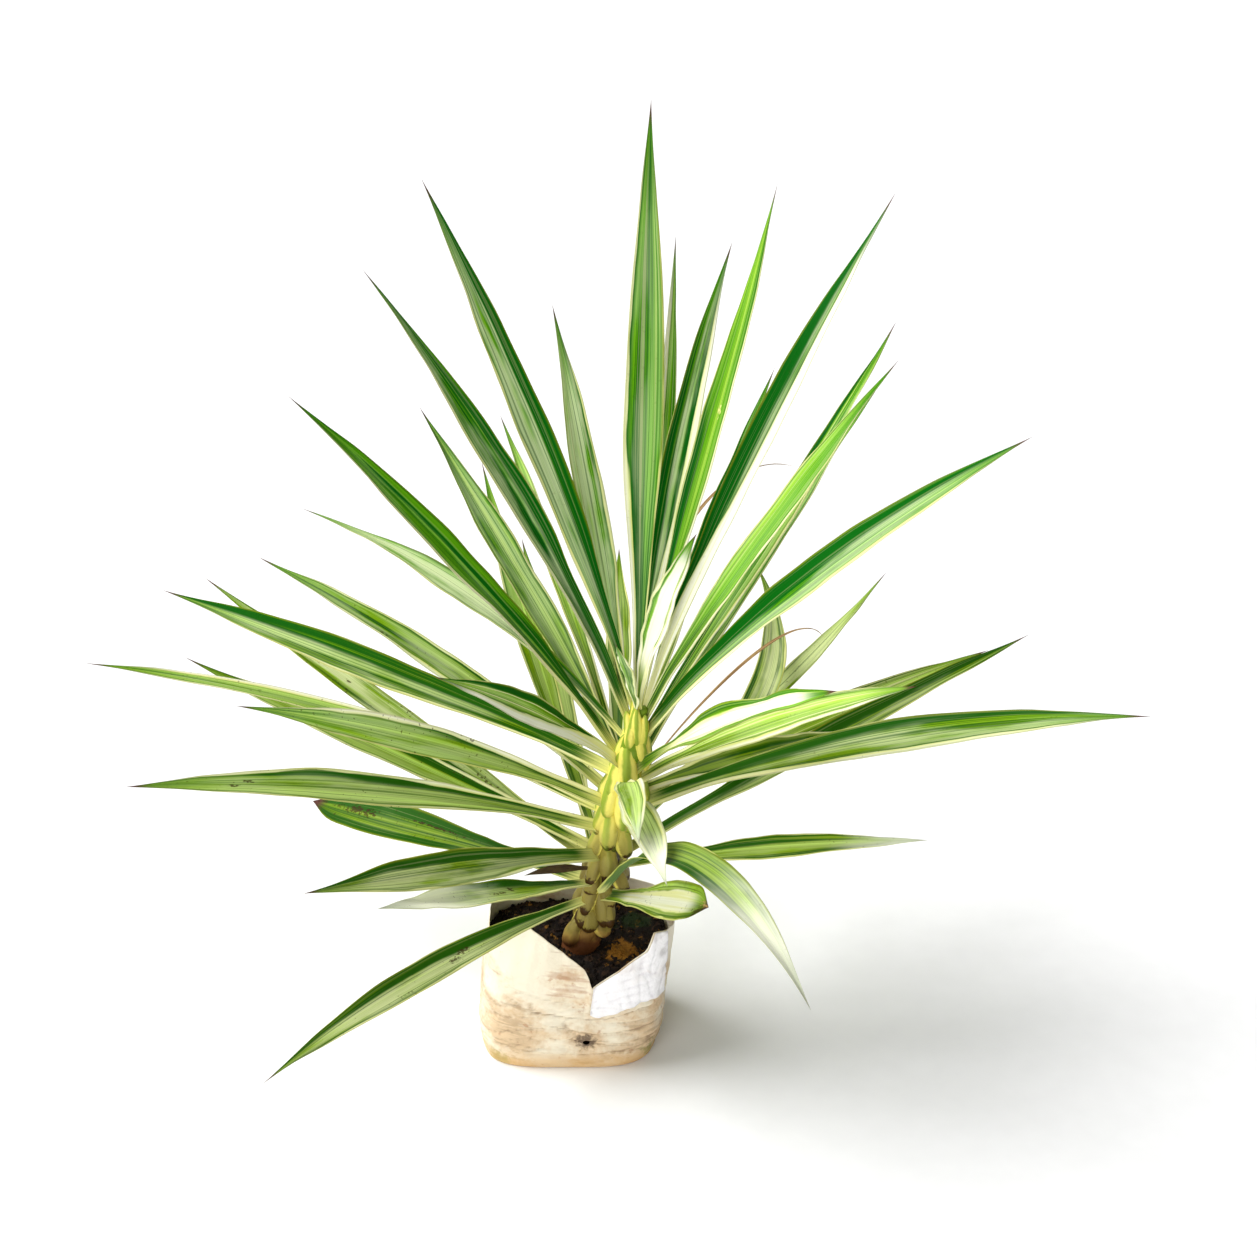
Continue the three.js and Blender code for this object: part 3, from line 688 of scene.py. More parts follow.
def leaf_skin(name, pattern, sizes, look, seed):
    """The finish of one leaf: the shared pattern with its own margins, bloom and blemishes."""
    material, board = finish(name)
    group = board.tree.nodes.new("ShaderNodeGroup")
    group.node_tree = pattern
    for key, socket in LOOK_INPUTS.items():
        group.inputs[socket].default_value = look[key]
    group.inputs["Seed"].default_value = seed
    painted, rough, height = (Wire(board, group.outputs[key]) for key in ("Colour", "Roughness", "Height"))
    if look["marks"]:
        across, along, _ = board.split(board.node("ShaderNodeUVMap", {"uv_map": "UVMap"}))
        ragged = board.clouds(board.join(across * 16.0, along * 110.0, seed), detail=4.0)
    for mark_across, mark_along, half_width, half_length, *tone in look["marks"]:
        wide = (across - mark_across) / half_width
        long = (along - mark_along) / half_length
        near = 1.0 - (wide * wide + long * long) ** 0.5
        scar = board.rise(near + ragged.sway(3.0), 0.35, 0.7) * board.rise(near, -0.3, 0.2)
        painted = board.blend(painted, getattr(sizes, tone[0] if tone else "blemish"), scar * 0.8)
        height = height - scar
    surface(board, painted, rough, height, depth=0.25 * MM, **LEAF_GLOSS)
    return material


def dry_skin(name, folds, flat):
    """Withered brown leaf, darker in its folds."""
    material, board = finish(name)
    across, along, _ = board.split(board.node("ShaderNodeUVMap", {"uv_map": "UVMap"}))
    fibres = board.clouds(board.join(across * 16.0, along * 3.0, 2.0), detail=3.0)
    patches = board.clouds(board.join(across * 2.0, along * 6.0, 5.0))
    painted = board.blend(folds, flat, board.rise(fibres + patches.sway(1.0), 0.3, 0.65))
    surface(board, painted, 0.75 + fibres.sway(0.2), fibres, depth=0.6 * MM)
    return material


def middle(points):
    """The mean of some points."""
    return sum(points, Vector()) / len(points)


def wave(x, y, z):
    """Smooth noise between -1 and 1."""
    return noise.noise(Vector((x, y, z)))


def valley(value, narrow):
    """1 where smooth noise crosses 0, falling to 0 on both sides."""
    return 1 - min(1, abs(value) * narrow)


def within(value):
    """The value held between 0 and 1."""
    return max(0, min(1, value))


def cad_copy(name):
    """A welded copy of a CAD node's mesh."""
    copy = bmesh.new()
    copy.from_mesh(frame["nodes"][name].data)
    bmesh.ops.remove_doubles(copy, verts=copy.verts, dist=WELD)
    return copy


def cad_sections(name):
    """Cross-sections of a CAD leaf from foot to tip: left edge, middle, right edge, two thicknesses."""
    copy = cad_copy(name)

    def sharpness(vertex):
        ring = [edge.other_vert(vertex).co for edge in vertex.link_edges]
        centre = middle(ring)
        return (vertex.co - centre).length / sum((p - centre).length for p in ring)

    tip = max((v for v in copy.verts if len(v.link_edges) == SECTION_POINTS), key=sharpness)
    rings = []
    seen = {tip}
    level = [tip]
    while True:
        level = {edge.other_vert(v) for v in level for edge in v.link_edges} - seen
        if len(level) != SECTION_POINTS:
            break
        seen |= level
        # A set has no fixed order, and each run has to give the same blade.
        rings.append([v.co.copy() for v in sorted(level, key=lambda v: v.index)])
    end = tip.co.copy()
    copy.free()
    rings.reverse()
    sections = []
    for place, ring in enumerate(rings):
        one, other = max(((a, b) for a in ring for b in ring), key=lambda pair: (pair[0] - pair[1]).length)
        order = sorted(ring, key=(one - other).dot)
        edges = middle(order[:2]), middle(order[4:])
        centre = middle(order[2:4])
        ahead = middle(rings[place + 1]) if place + 1 < len(rings) else end
        face = middle(edges) - centre
        if face.cross(ahead - centre).dot(edges[0] - edges[1]) < 0:
            edges = edges[::-1]
        thick = (order[2] - order[3]).length
        margin = (order[0] - order[1]).length
        sections.append([edges[0], centre, edges[1], Vector((thick, margin, 0))])
    sections.append([end, end, end, Vector()])
    return sections


def curve_through(a, b, c, d, t):
    """Catmull-Rom curve from b to c."""
    return (b * 2 + (c - a) * t + (a * 2 - b * 5 + c * 4 - d) * t * t + (b * 3 - a - c * 3 + d) * t ** 3) / 2


def finer_sections(sections, steps):
    """Sections for the visible blade, with a foot that reaches into the stem."""
    while len(sections) < LEAF_STATIONS + 1:
        foot = [near * 2 - far for near, far in zip(sections[0][:3], sections[1][:3])]
        sections = [[*foot, sections[0][3]]] + sections
    before = [near * 2 - far for near, far in zip(sections[0], sections[1])]
    tip = sections[-1][1]
    after = tip + (tip - sections[-2][1]) * 0.3
    padded = [before] + sections + [[after, after, after, Vector()]]
    finer = []
    for place in range(1, len(padded) - 2):
        for step in range(steps):
            rows = zip(*padded[place - 1:place + 3])
            finer.append([curve_through(*row, step / steps) for row in rows])
    finer.append(sections[-1])
    return finer


def rib_mesh(name, sections, ripple, seed):
    """A line of points up a leaf's middle that carries each cross-section and its uneven edges."""
    closed = [[sections[0][1]] * 3 + [Vector()]] + sections
    last = len(closed) - 2
    mesh = bpy.data.meshes.new(name)
    mesh.from_pydata([s[1] for s in closed], [(i, i + 1) for i in range(last + 1)], [])
    kinds = ("reach", "rise", "face", "gauge")
    for kind in kinds:
        mesh.attributes.new(kind, "FLOAT_VECTOR", "POINT")
    reach, rise, face, gauge = (mesh.attributes[kind].data for kind in kinds)
    for place, (left, centre, right, thickness) in enumerate(closed):
        here = min(place, last)
        ahead = closed[here + 1][1] - closed[max(here - 1, 0)][1]
        wide = closed[min(max(place, 1), last)]
        across = (wide[0] - wide[2]).normalized()
        normal = ahead.cross(across).normalized()
        along = max(place - 1, 0) / last
        free = ripple * min(1, along / RIPPLE_FOOT) * min(1, (1 - along) / RIPPLE_TIP)
        edges = []
        for edge, shift in ((left, 1.7), (right, 9.3)):
            lift = wave(along * 5, seed, shift) * 2.2 + wave(along * 14, seed, shift)
            swell = wave(along * 7, seed, shift + 4)
            edges.append(edge + (normal * lift + across * swell * 1.3) * free)
        reach[place].vector = (edges[0] - edges[1]) / 2
        rise[place].vector = (edges[0] + edges[1]) / 2 - centre
        face[place].vector = normal
        gauge[place].vector = (max(thickness.x, 0), max(thickness.y, 0), along)
    return mesh


def blade_tree():
    """Geometry nodes: sweeps a channelled blade along the ribs of a leaf."""
    inputs = {
        "Ribs": "Geometry",
        "Rib count": "Int",
        "Points around": "Int",
        "Valley": "Float",
        "Edge": "Float",
        "Skin": "Material",
    }
    tree, board, given = new_tree("yucca_blade", "GeometryNodeTree", inputs, {"Blade": "Geometry"})
    around = board.other(given, "Points around")
    columns = around + 1.0
    index = board.node("GeometryNodeInputIndex")
    row = board.maths("FLOOR", (index + 0.5) / columns)
    turn = (index - row * columns) / around * (2 * math.pi)

    def at_rib(value):
        return board.node(
            "GeometryNodeSampleIndex",
            {"data_type": "FLOAT_VECTOR", "domain": "POINT"},
            {"Geometry": given, "Value": value, "Index": row},
            "Value",
        )

    side = board.maths("COSINE", turn)
    swing = board.maths("SINE", turn)
    thick, margin, along = board.split(at_rib(board.carried("gauge")))
    edge = abs(side)
    profile = board.maths("SIGN", swing) * abs(swing) ** board.other(given, "Edge")
    lift = profile * (thick + (margin - thick) * edge * edge) * 0.5
    place = at_rib(board.node("GeometryNodeInputPosition"))
    for name, factor in (("reach", side), ("rise", edge ** board.other(given, "Valley")), ("face", lift)):
        place = board.vector("ADD", place, board.scaled(at_rib(board.carried(name)), factor))
    counts = {"Vertices X": board.other(given, "Rib count"), "Vertices Y": columns}
    sheet = board.node("GeometryNodeMeshGrid", values=counts, output="Mesh")
    for name, value in (("u", side * 0.5 + 0.5), ("v", along), ("upper", profile * 0.5 + 0.5)):
        sheet = board.carry(sheet, name, value)
    sheet = board.placed(sheet, place)
    uv_place = board.join(board.carried("u", "FLOAT"), board.carried("v", "FLOAT"), 0.0)
    sheet = board.carry(sheet, "UVMap", uv_place, "FLOAT2", "CORNER")
    sheet = board.node("GeometryNodeMergeByDistance", values={"Geometry": sheet, "Distance": WELD})
    board.node("NodeGroupOutput", values={"Blade": board.plain(sheet, board.other(given, "Skin"))})
    return tree


def new_object(name, data):
    """A new object in the scene."""
    made = bpy.data.objects.new(name, data)
    bpy.context.scene.collection.objects.link(made)
    return made


def plain_mesh(piece):
    """The piece with its modifiers as a plain mesh of its own."""
    graph = bpy.context.evaluated_depsgraph_get()
    made = bpy.data.meshes.new_from_object(piece.evaluated_get(graph))
    piece.modifiers.clear()
    piece.data = made
    return made


def grown(name, mesh, tree, values):
    """A plain mesh piece from a carrier mesh and a Geometry Nodes tree."""
    piece = new_object(name, mesh)
    modifier = piece.modifiers.new("shape", "NODES")
    modifier.node_group = tree
    for item in tree.interface.items_tree:
        if item.name in values:
            modifier[item.identifier] = values[item.name]
    plain_mesh(piece).name = name
    return piece


def tidy_faces(mesh):
    """Faces outwards and shaded smooth."""
    shape = bmesh.new()
    shape.from_mesh(mesh)
    bmesh.ops.recalc_face_normals(shape, faces=shape.faces)
    for face in shape.faces:
        face.smooth = True
    shape.to_mesh(mesh)
    shape.free()


def settle(piece, slot, *nodes):
    """A finished piece rides on the plant and stands for its CAD nodes, which it hides. The slot is not used.
    """
    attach(piece, BODY)
    if nodes:
        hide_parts(*nodes)


def leaf_slots():
    """The material slot of each CAD node, by name."""
    return {part["node"]: part["material_slot"] for part in frame["record"]["subparts"]}


def grow_leaf(name, tree, sizes, skin, slot, seed):
    """One blade along its CAD leaf. A withered one is narrower and has even edges."""
    sections = finer_sections(cad_sections(name), sizes.steps)
    ripple = sizes.ripple
    if slot == "dry_leaf":
        ripple = 0.0
        shrink = sizes.shrink
        sections = [[*(row[1].lerp(point, shrink) for point in row[:3]), row[3] * shrink] for row in sections]
    ribs = rib_mesh(name + "_ribs", sections, ripple, seed)
    piece = grown(name + "_blade", ribs, tree, {
        "Rib count": len(ribs.vertices),
        "Points around": sizes.around,
        "Valley": sizes.valley,
        "Edge": sizes.edge,
        "Skin": skin,
    })
    tidy_faces(piece.data)
    settle(piece, slot, name)


class YUCCA_OT_leaves(bpy.types.Operator):
    """Sweep the living leaves along the CAD leaves and paint their stripes."""

    bl_idname = "mesh.yucca_leaves"
    bl_label = "Leaves"

    def execute(self, context):
        sizes = context.scene.yucca_leaves
        tree = blade_tree()
        pattern = leaf_pattern(sizes)
        slots = leaf_slots()
        for place, (name, marks) in enumerate(sorted(LEAF_LOOKS.items())):
            look = {**PLAIN_LOOK, **marks}
            seed = PAINT_SEED + PAINT_SEED_STEP * place
            skin = leaf_skin("yucca_" + name, pattern, sizes, look, seed)
            grow_leaf(name, tree, sizes, skin, slots[name], place * SHAPE_SEED_STEP)
        return {"FINISHED"}


class YUCCA_OT_dry_leaves(bpy.types.Operator):
    """Sweep the withered leaves along their CAD solids."""

    bl_idname = "mesh.yucca_dry_leaves"
    bl_label = "Dry leaves"

    def execute(self, context):
        sizes = context.scene.yucca_leaves
        tree = bpy.data.node_groups["yucca_blade"]
        thread = dry_skin("yucca_dry_thread", sizes.dry_dark, sizes.dry)
        # The withered leaf low by the soil is painted dark brown, partly its own colour and partly painted
        # shade beneath the leaf bases.
        leaf = dry_skin("yucca_dry_leaf", sizes.blemish, sizes.rotten_and_shade)
        for name, skin in (("dry_leaf_01", thread), ("dry_leaf_02", thread), ("dry_leaf_03", leaf)):
            grow_leaf(name, tree, sizes, skin, "dry_leaf", seed=0.0)
        return {"FINISHED"}


def stem_line():
    """The stem's middle line: height, centre and radius of each ring of its CAD solid."""
    copy = cad_copy("stem")
    levels = {}
    for vertex in copy.verts:
        levels.setdefault(round(vertex.co.z, 4), []).append(vertex.co.copy())
    copy.free()
    line = []
    for level, points in sorted(levels.items()):
        if len(points) > 1:
            centre = middle(points)
            line.append((level, centre, sum((p - centre).length for p in points) / len(points)))
    return line


def stem_at(line, height):
    """Centre and radius of the stem at a height."""
    for (low, centre, radius), (high, next_centre, next_radius) in zip(line, line[1:]):
        if height <= high:
            t = max(0, (height - low) / (high - low))
            return centre.lerp(next_centre, t), radius + (next_radius - radius) * t
    return line[-1][1], line[-1][2]


def base_points(sizes):
    """Where the swollen leaf bases sit: under each leaf, and in a spiral below the leaves."""
    line = stem_line()
    points = []
    for name in sorted(frame["nodes"]):
        if "leaf" not in name:
            continue
        foot, ahead = finer_sections(cad_sections(name), 1)[:2]
        centre, radius = stem_at(line, foot[1].z)
        out = (foot[1] - centre) * LEVEL
        grow = (UP + (ahead[1] - foot[1]).normalized() * FOLLOW).normalized()
        slim = DRY_BASE if name.startswith("dry") else 1.0
        slim *= HIGH_BASE if foot[1].z > sizes.top else 1.0
        height = foot[1].z - BASE_DROP
        points.append((centre, out.normalized(), radius, height, grow, slim, sizes.sheath))
    for step in range(sizes.bare):
        height = sizes.lowest + sizes.pitch * step
        centre, radius = stem_at(line, height)
        turn = GOLDEN_ANGLE * step + FIRST_TURN
        out = Vector((math.cos(turn), math.sin(turn), 0))
        slim = SPIRAL_BASE if height < sizes.top else HIGH_SPIRAL_BASE
        share = (height - sizes.lowest) / (sizes.top - sizes.lowest)
        tall = 0.88 + (sizes.sheath - 1) * within(share * 2 - 0.6)
        lean = LEAN - LEAN_LOST * within((height - sizes.lowest) / LEAN_HEIGHT)
        points.append((centre, out, radius, height, (UP + out * lean).normalized(), slim, tall))
    centre, _ = stem_at(line, sizes.crown_foot)
    points.append((centre, Vector((0, -1, 0)), 0, sizes.crown_foot, UP, CROWN_BASE, 1.0))
    return points


def base_carrier(sizes):
    """Points with the turn and size of each leaf base."""
    points = base_points(sizes)
    mesh = bpy.data.meshes.new("leaf_base_points")
    places = []
    for centre, out, radius, height, *_ in points:
        place = centre + out * (radius * 0.7)
        place.z = height
        places.append(place)
    mesh.from_pydata(places, [], [])
    mesh.attributes.new("turn", "FLOAT_VECTOR", "POINT")
    mesh.attributes.new("swell", "FLOAT_VECTOR", "POINT")
    turns = mesh.attributes["turn"].data
    swells = mesh.attributes["swell"].data
    for place, (centre, out, radius, height, grow, slim, tall) in enumerate(points):
        across = grow.cross(out).normalized()
        depth = across.cross(grow).normalized()
        turns[place].vector = Matrix((across, depth, grow)).transposed().to_euler()
        vary = 1 + 0.14 * noise.noise(places[place] * 90)
        swells[place].vector = Vector((sizes.width, sizes.depth, sizes.height * tall)) * (slim * vary)
    return mesh


def base_tree():
    """Geometry nodes: a swollen, tapering leaf base on every point."""
    inputs = {"Points": "Geometry", "Taper": "Float", "Skin": "Material"}
    tree, board, given = new_tree("yucca_leaf_bases", "GeometryNodeTree", inputs, {"Bases": "Geometry"})
    ball = {"Segments": 22, "Rings": 14, "Radius": 1.0}
    ball = board.node("GeometryNodeMeshUVSphere", values=ball, output="Mesh")
    x, y, z = board.split(board.node("GeometryNodeInputPosition"))
    for name, value in (("up_base", z), ("bulge", y), ("breadth", x)):
        ball = board.carry(ball, name, value)
    slim = 1.0 - (z + 0.4) * board.other(given, "Taper")
    ridge = 1.0 + 0.12 * board.maths("COSINE", x * 7.0)
    ball = board.placed(ball, board.join(x * slim, y * slim * ridge, z))
    bases = board.node("GeometryNodeInstanceOnPoints", values={
        "Points": given,
        "Instance": ball,
        "Rotation": board.carried("turn"),
        "Scale": board.carried("swell"),
    })
    board.node("NodeGroupOutput", values={"Bases": board.plain(bases, board.other(given, "Skin"))})
    return tree


def stem_skin(name, sizes, gap_shade):
    """Pale fleshy leaf bases with green patches, brown seams and painted shade on their sides, tan at the
    foot and red-brown at the soil. The last argument paints the core dark as shade in the gaps between the
    bases.
    """
    material, board = finish(name)
    place = board.object_place()
    height = board.split(place)[2]
    up_base, bulge, breadth = (board.painted_value(key) for key in ("up_base", "bulge", "breadth"))
    patches = board.clouds(place, scale=60.0, detail=3.0)
    fine = board.clouds(place, scale=420.0, detail=4.0)
    upward = board.rise(height, *LEAFY_HEIGHT)
    # Painted shade: the sides of each low leaf base turn olive, where the rounded base turns from the light.
    edges = board.rise(abs(breadth) + patches.sway(0.5), 0.45, 0.85) * (1.0 - upward)
    # A brown seam at the bottom of each base, plus painted shade on its tucked-in sides.
    seam = board.rise(fine * 0.4 - up_base, 0.84, 1.1) + board.rise(fine * 0.3 - bulge, 0.0, 0.3)
    leafy = upward * (1.0 - board.rise(abs(breadth) + patches.sway(0.8), 0.2, 0.5))
    painted = board.coats(
        sizes.flesh,
        (sizes.green, board.rise(patches + up_base * 0.12, 0.58, 0.8)),
        # Olive painted shade on the sides, then the seam colour as brown seams, as painted shade on the
        # tucked-in sides and, on the core, as painted shade in the gaps.
        (sizes.olive, edges * 0.3),
        (sizes.seam, (seam * (1.0 - upward * 0.75) + gap_shade) * 0.8),
        (sizes.leafy, leafy * 0.8),
        (sizes.seam, board.rise(fine, 0.66, 0.74) * 0.25),
        (sizes.crown, (1.0 - board.rise(height + patches.sway(0.03), *TAN_HEIGHT)) * 0.7),
        (sizes.ring, (1.0 - board.rise(height + patches.sway(0.02), *RING_HEIGHT)) * 0.9),
    )
    surface(board, painted, 0.5 + fine.sway(0.3), fine * 0.5 + patches, depth=0.9 * MM, **DULL_GLOSS)
    return material


class YUCCA_OT_stem(bpy.types.Operator):
    """Build the stem and its swollen leaf bases."""

    bl_idname = "mesh.yucca_stem"
    bl_label = "Stem"

    def execute(self, context):
        sizes = context.scene.yucca_stem
        skin = stem_skin("yucca_stem", sizes, gap_shade=0.0)
        values = {"Taper": sizes.taper, "Skin": skin}
        bases = grown("stem_leaf_bases", base_carrier(sizes), base_tree(), values)
        tidy_faces(bases.data)
        line = stem_line()
        core = cad_copy("stem")
        for vertex in core.verts:
            centre, _ = stem_at(line, vertex.co.z)
            out = (vertex.co - centre) * LEVEL
            if vertex.co.z > sizes.crown_foot and out.length > 2 * sizes.waist:
                vertex.co -= out.normalized() * sizes.waist
        bmesh.ops.subdivide_edges(core, edges=core.edges, cuts=1, use_grid_fill=True, smooth=0.6)
        mesh = bpy.data.meshes.new("stem_core")
        core.to_mesh(mesh)
        core.free()
        # The core shows only in the gaps between the bases, so it is painted dark brown as the shade there.
        mesh.materials.append(stem_skin("yucca_stem_core", sizes, gap_shade=0.9))
        tidy_faces(mesh)
        settle(new_object("stem_core", mesh), "stem", "stem")
        settle(bases, "stem")
        return {"FINISHED"}


def ring_faces(rings, around):
    """Faces between each ring of points and the next, over that many steps."""
    faces = []
    for ring in range(rings):
        a = ring * around
        for side in range(around):
            nxt = (side + 1) % around
            faces.append((a + side, a + nxt, a + around + nxt, a + around + side))
    return faces


def soil_disc(sizes):
    """The soil's top as rings around the middle of its CAD solid, with small lumps, and its closed sides."""
    copy = cad_copy("soil")
    tree = BVHTree.FromBMesh(copy)
    copy.free()
    low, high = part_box("soil")
    centre = (low + high) / 2
    hub = Vector((centre.x, centre.y, SOIL_LEVEL))
    points = []
    for ring in range(SOIL_RINGS + 1):
        for side in range(SOIL_SIDES):
            turn = 2 * math.pi * side / SOIL_SIDES
            out = Vector((math.cos(turn), math.sin(turn), 0))
            edge = tree.ray_cast(hub + out, -out)[0]
            reach = (edge - hub).length - SOIL_GAP
            place = Vector((centre.x, centre.y, 1)) + out * reach * (1 - ring / SOIL_RINGS)
            top = tree.ray_cast(place, -UP)[0]
            height = top.z if top and top.z > SOIL_LEVEL - 0.01 else SOIL_LEVEL + 0.01
            near = min(1, ring / 4)
            lumps = noise.fractal(place * 90, 0.8, 2.0, 3) + 0.6 * noise.noise(place * 420)
            points.append(Vector((place.x, place.y, height + sizes.relief * near * lumps * 0.5)))
            if ring == SOIL_RINGS:
                break
    hub_point = len(points) - 1
    wall = len(points)
    sides = range(SOIL_SIDES)
    faces = ring_faces(SOIL_RINGS - 1, SOIL_SIDES)
    last = (SOIL_RINGS - 1) * SOIL_SIDES
    faces += [(last + side, last + (side + 1) % SOIL_SIDES, hub_point) for side in sides]
    for rim in points[:SOIL_SIDES]:
        points.append(centre.lerp(Vector((rim.x, rim.y, 0)), SOIL_NARROW))
        points[-1].z = low.z + SOIL_END
    faces += [(side, wall + side, wall + (side + 1) % SOIL_SIDES, (side + 1) % SOIL_SIDES) for side in sides]
    faces.append(tuple(range(wall, wall + SOIL_SIDES)))
    mesh = bpy.data.meshes.new("soil_top")
    mesh.from_pydata(points, [], faces)
    tidy_faces(mesh)
    return mesh


def crumb_tree():
    """Geometry nodes: crumbs scattered on the upward faces of the soil."""
    inputs = {
        "Soil": "Geometry",
        "Density": "Float",
        "Smallest": "Float",
        "Largest": "Float",
        "Seed": "Int",
        "Earth": "Material",
    }
    tree, board, given = new_tree("yucca_soil_crumbs", "GeometryNodeTree", inputs, {"Soil": "Geometry"})
    normal = board.node("GeometryNodeInputNormal")
    spots = board.node("GeometryNodeDistributePointsOnFaces", {"distribute_method": "RANDOM"}, {
        "Mesh": given,
        "Selection": board.maths("GREATER_THAN", board.split(normal)[2], 0.5),
        "Density": board.other(given, "Density"),
        "Seed": board.other(given, "Seed"),
    }, "Points")
    crumb = board.node("GeometryNodeMeshIcoSphere", values={"Radius": 1.0, "Subdivisions": 2}, output="Mesh")
    dent = board.node("ShaderNodeTexNoise", values={"Scale": 1.3, "Detail": 1.0}, output="Color")
    crumb = board.node("GeometryNodeSetPosition", values={
        "Geometry": crumb,
        "Offset": board.scaled(board.vector("SUBTRACT", dent, (0.5, 0.5, 0.5)), 1.6),
    })

    def random(kind, low, high, seed):
        values = {"Min": low, "Max": high, "Seed": seed}
        return board.node("FunctionNodeRandomValue", {"data_type": kind}, values, "Value")

    # The power makes most crumbs small.
    size = random("FLOAT", 0.0, 1.0, seed=5) ** 2.5
    small = board.other(given, "Smallest")
    crumbs = board.node("GeometryNodeInstanceOnPoints", values={
        "Points": spots,
        "Instance": crumb,
        "Rotation": random("FLOAT_VECTOR", NO_TURN, FULL_TURN, seed=9),
        "Scale": small + (board.other(given, "Largest") - small) * size,
    })
    joined = board.tree.nodes.new("GeometryNodeJoinGeometry")
    board.tree.links.new(given.socket, joined.inputs[0])
    board.tree.links.new(crumbs.socket, joined.inputs[0])
    soil = board.plain(Wire(board, joined.outputs[0]), board.other(given, "Earth"))
    board.node("NodeGroupOutput", values={"Soil": soil})
    return tree


def near_spot(board, place, centre, radius):
    """1 at a spot of the bag or soil and 0 past its radius, both in millimetres."""
    away = board.vector("SUBTRACT", place, tuple(c * MM for c in centre))
    gap = board.node("ShaderNodeVectorMath", {"operation": "LENGTH"}, {0: away}, "Value")
    return 1.0 - gap / (radius * MM)


def soil_skin(sizes):
    """Near-black moist soil with drier crumbs, straw-coloured debris and a mossy patch."""
    material, board = finish("yucca_soil")
    place = board.object_place()
    cells = board.node("ShaderNodeTexVoronoi", values={"Vector": place, "Scale": 260.0}, output="Color")
    tone, other, _ = board.split(cells)
    broad = board.clouds(place, scale=35.0, detail=3.0)
    fine = board.clouds(place, scale=700.0, detail=3.0)
    straw = near_spot(board, place, *STRAW_PATCH) + broad.sway(1.2) + other.sway(0.5)
    straw = board.most(board.rise(straw, 0.3, 0.6), board.rise(other + fine.sway(0.3), 0.95, 1.0) * 0.7)
    moss = board.rise(near_spot(board, place, *MOSS_PATCH) + broad.sway(1.5), 0.3, 0.6)
    painted = board.coats(
        sizes.earth,
        (sizes.dry, board.rise(tone + broad.sway(1.0), 0.6, 1.1)),
        (sizes.straw, straw * 0.85),
        (sizes.moss, moss * 0.7),
    )
    surface(board, painted, 0.8 + fine.sway(0.3), fine + tone * 0.3, depth=0.7 * MM, **DULL_GLOSS)
    return material


class YUCCA_OT_soil(bpy.types.Operator):
    """Build the crumbly soil."""

    bl_idname = "mesh.yucca_soil"
    bl_label = "Soil"

    def execute(self, context):
        sizes = context.scene.yucca_soil
        piece = grown("soil_crumbs", soil_disc(sizes), crumb_tree(), {
            "Density": sizes.crumbs,
            "Smallest": sizes.smallest,
            "Largest": sizes.largest,
            "Seed": 4,
            "Earth": soil_skin(sizes),
        })
        settle(piece, "soil", "soil")
        return {"FINISHED"}


def along_line(table, value):
    """Straight lines through a table of place and height."""
    if value <= table[0][0]:
        return table[0][1]
    for (low, start), (high, end) in zip(table, table[1:]):
        if value <= high:
            return start + (end - start) * (value - low) / (high - low)
    return table[-1][1]


def from_split(turn):
    """Degrees from the bottom of the split, between -180 and 180."""
    return (math.degrees(turn) - SPLIT_ANGLE + 180) % 360 - 180


def bag_reach(turn, height):
    """The bag's outline at a height in millimetres: its reach and sideways shift."""
    if height <= BELLY_HEIGHT:
        bulge = math.sin(math.pi / 2 * max(height, 0) / BELLY_HEIGHT) ** 0.6
        wide, deep, shift = (BASE[i] + (BELLY[i] - BASE[i]) * bulge for i in range(3))
    else:
        t = (height - BELLY_HEIGHT) / (RIM_HEIGHT - BELLY_HEIGHT)
        wide = BELLY[0] + (MOUTH[0] - BELLY[0]) * t * t
        deep = BELLY[1] + (MOUTH[1] - BELLY[1]) * t * t
        shift = BELLY[2] + (MOUTH[2] - BELLY[2]) * t
    square = abs(math.cos(turn) / wide) ** SQUARENESS + abs(math.sin(turn) / deep) ** SQUARENESS
    return square ** (-1 / SQUARENESS), shift


def bag_rim(turn):
    """Height of the rim, with the split at the front and its torn corners."""
    away = from_split(turn)
    if SPLIT_EDGE[0][0] < away < SPLIT_EDGE[-1][0]:
        return along_line(SPLIT_EDGE, away)
    peak = SPLIT_EDGE[0][1] if away < 0 else SPLIT_EDGE[-1][1]
    span = -SPLIT_EDGE[0][0] if away < 0 else SPLIT_EDGE[-1][0]
    back = (abs(away) - span) / (180 - span)
    ripple = RIM_WAVE_HEIGHT * math.sin(RIM_WAVES * turn) * math.sin(math.pi * back)
    rim = RIM_HEIGHT + RIM_SLOPE * math.cos(turn)
    return peak + (rim - peak) * math.sin(min(back * 2, 1) * math.pi / 2) + ripple


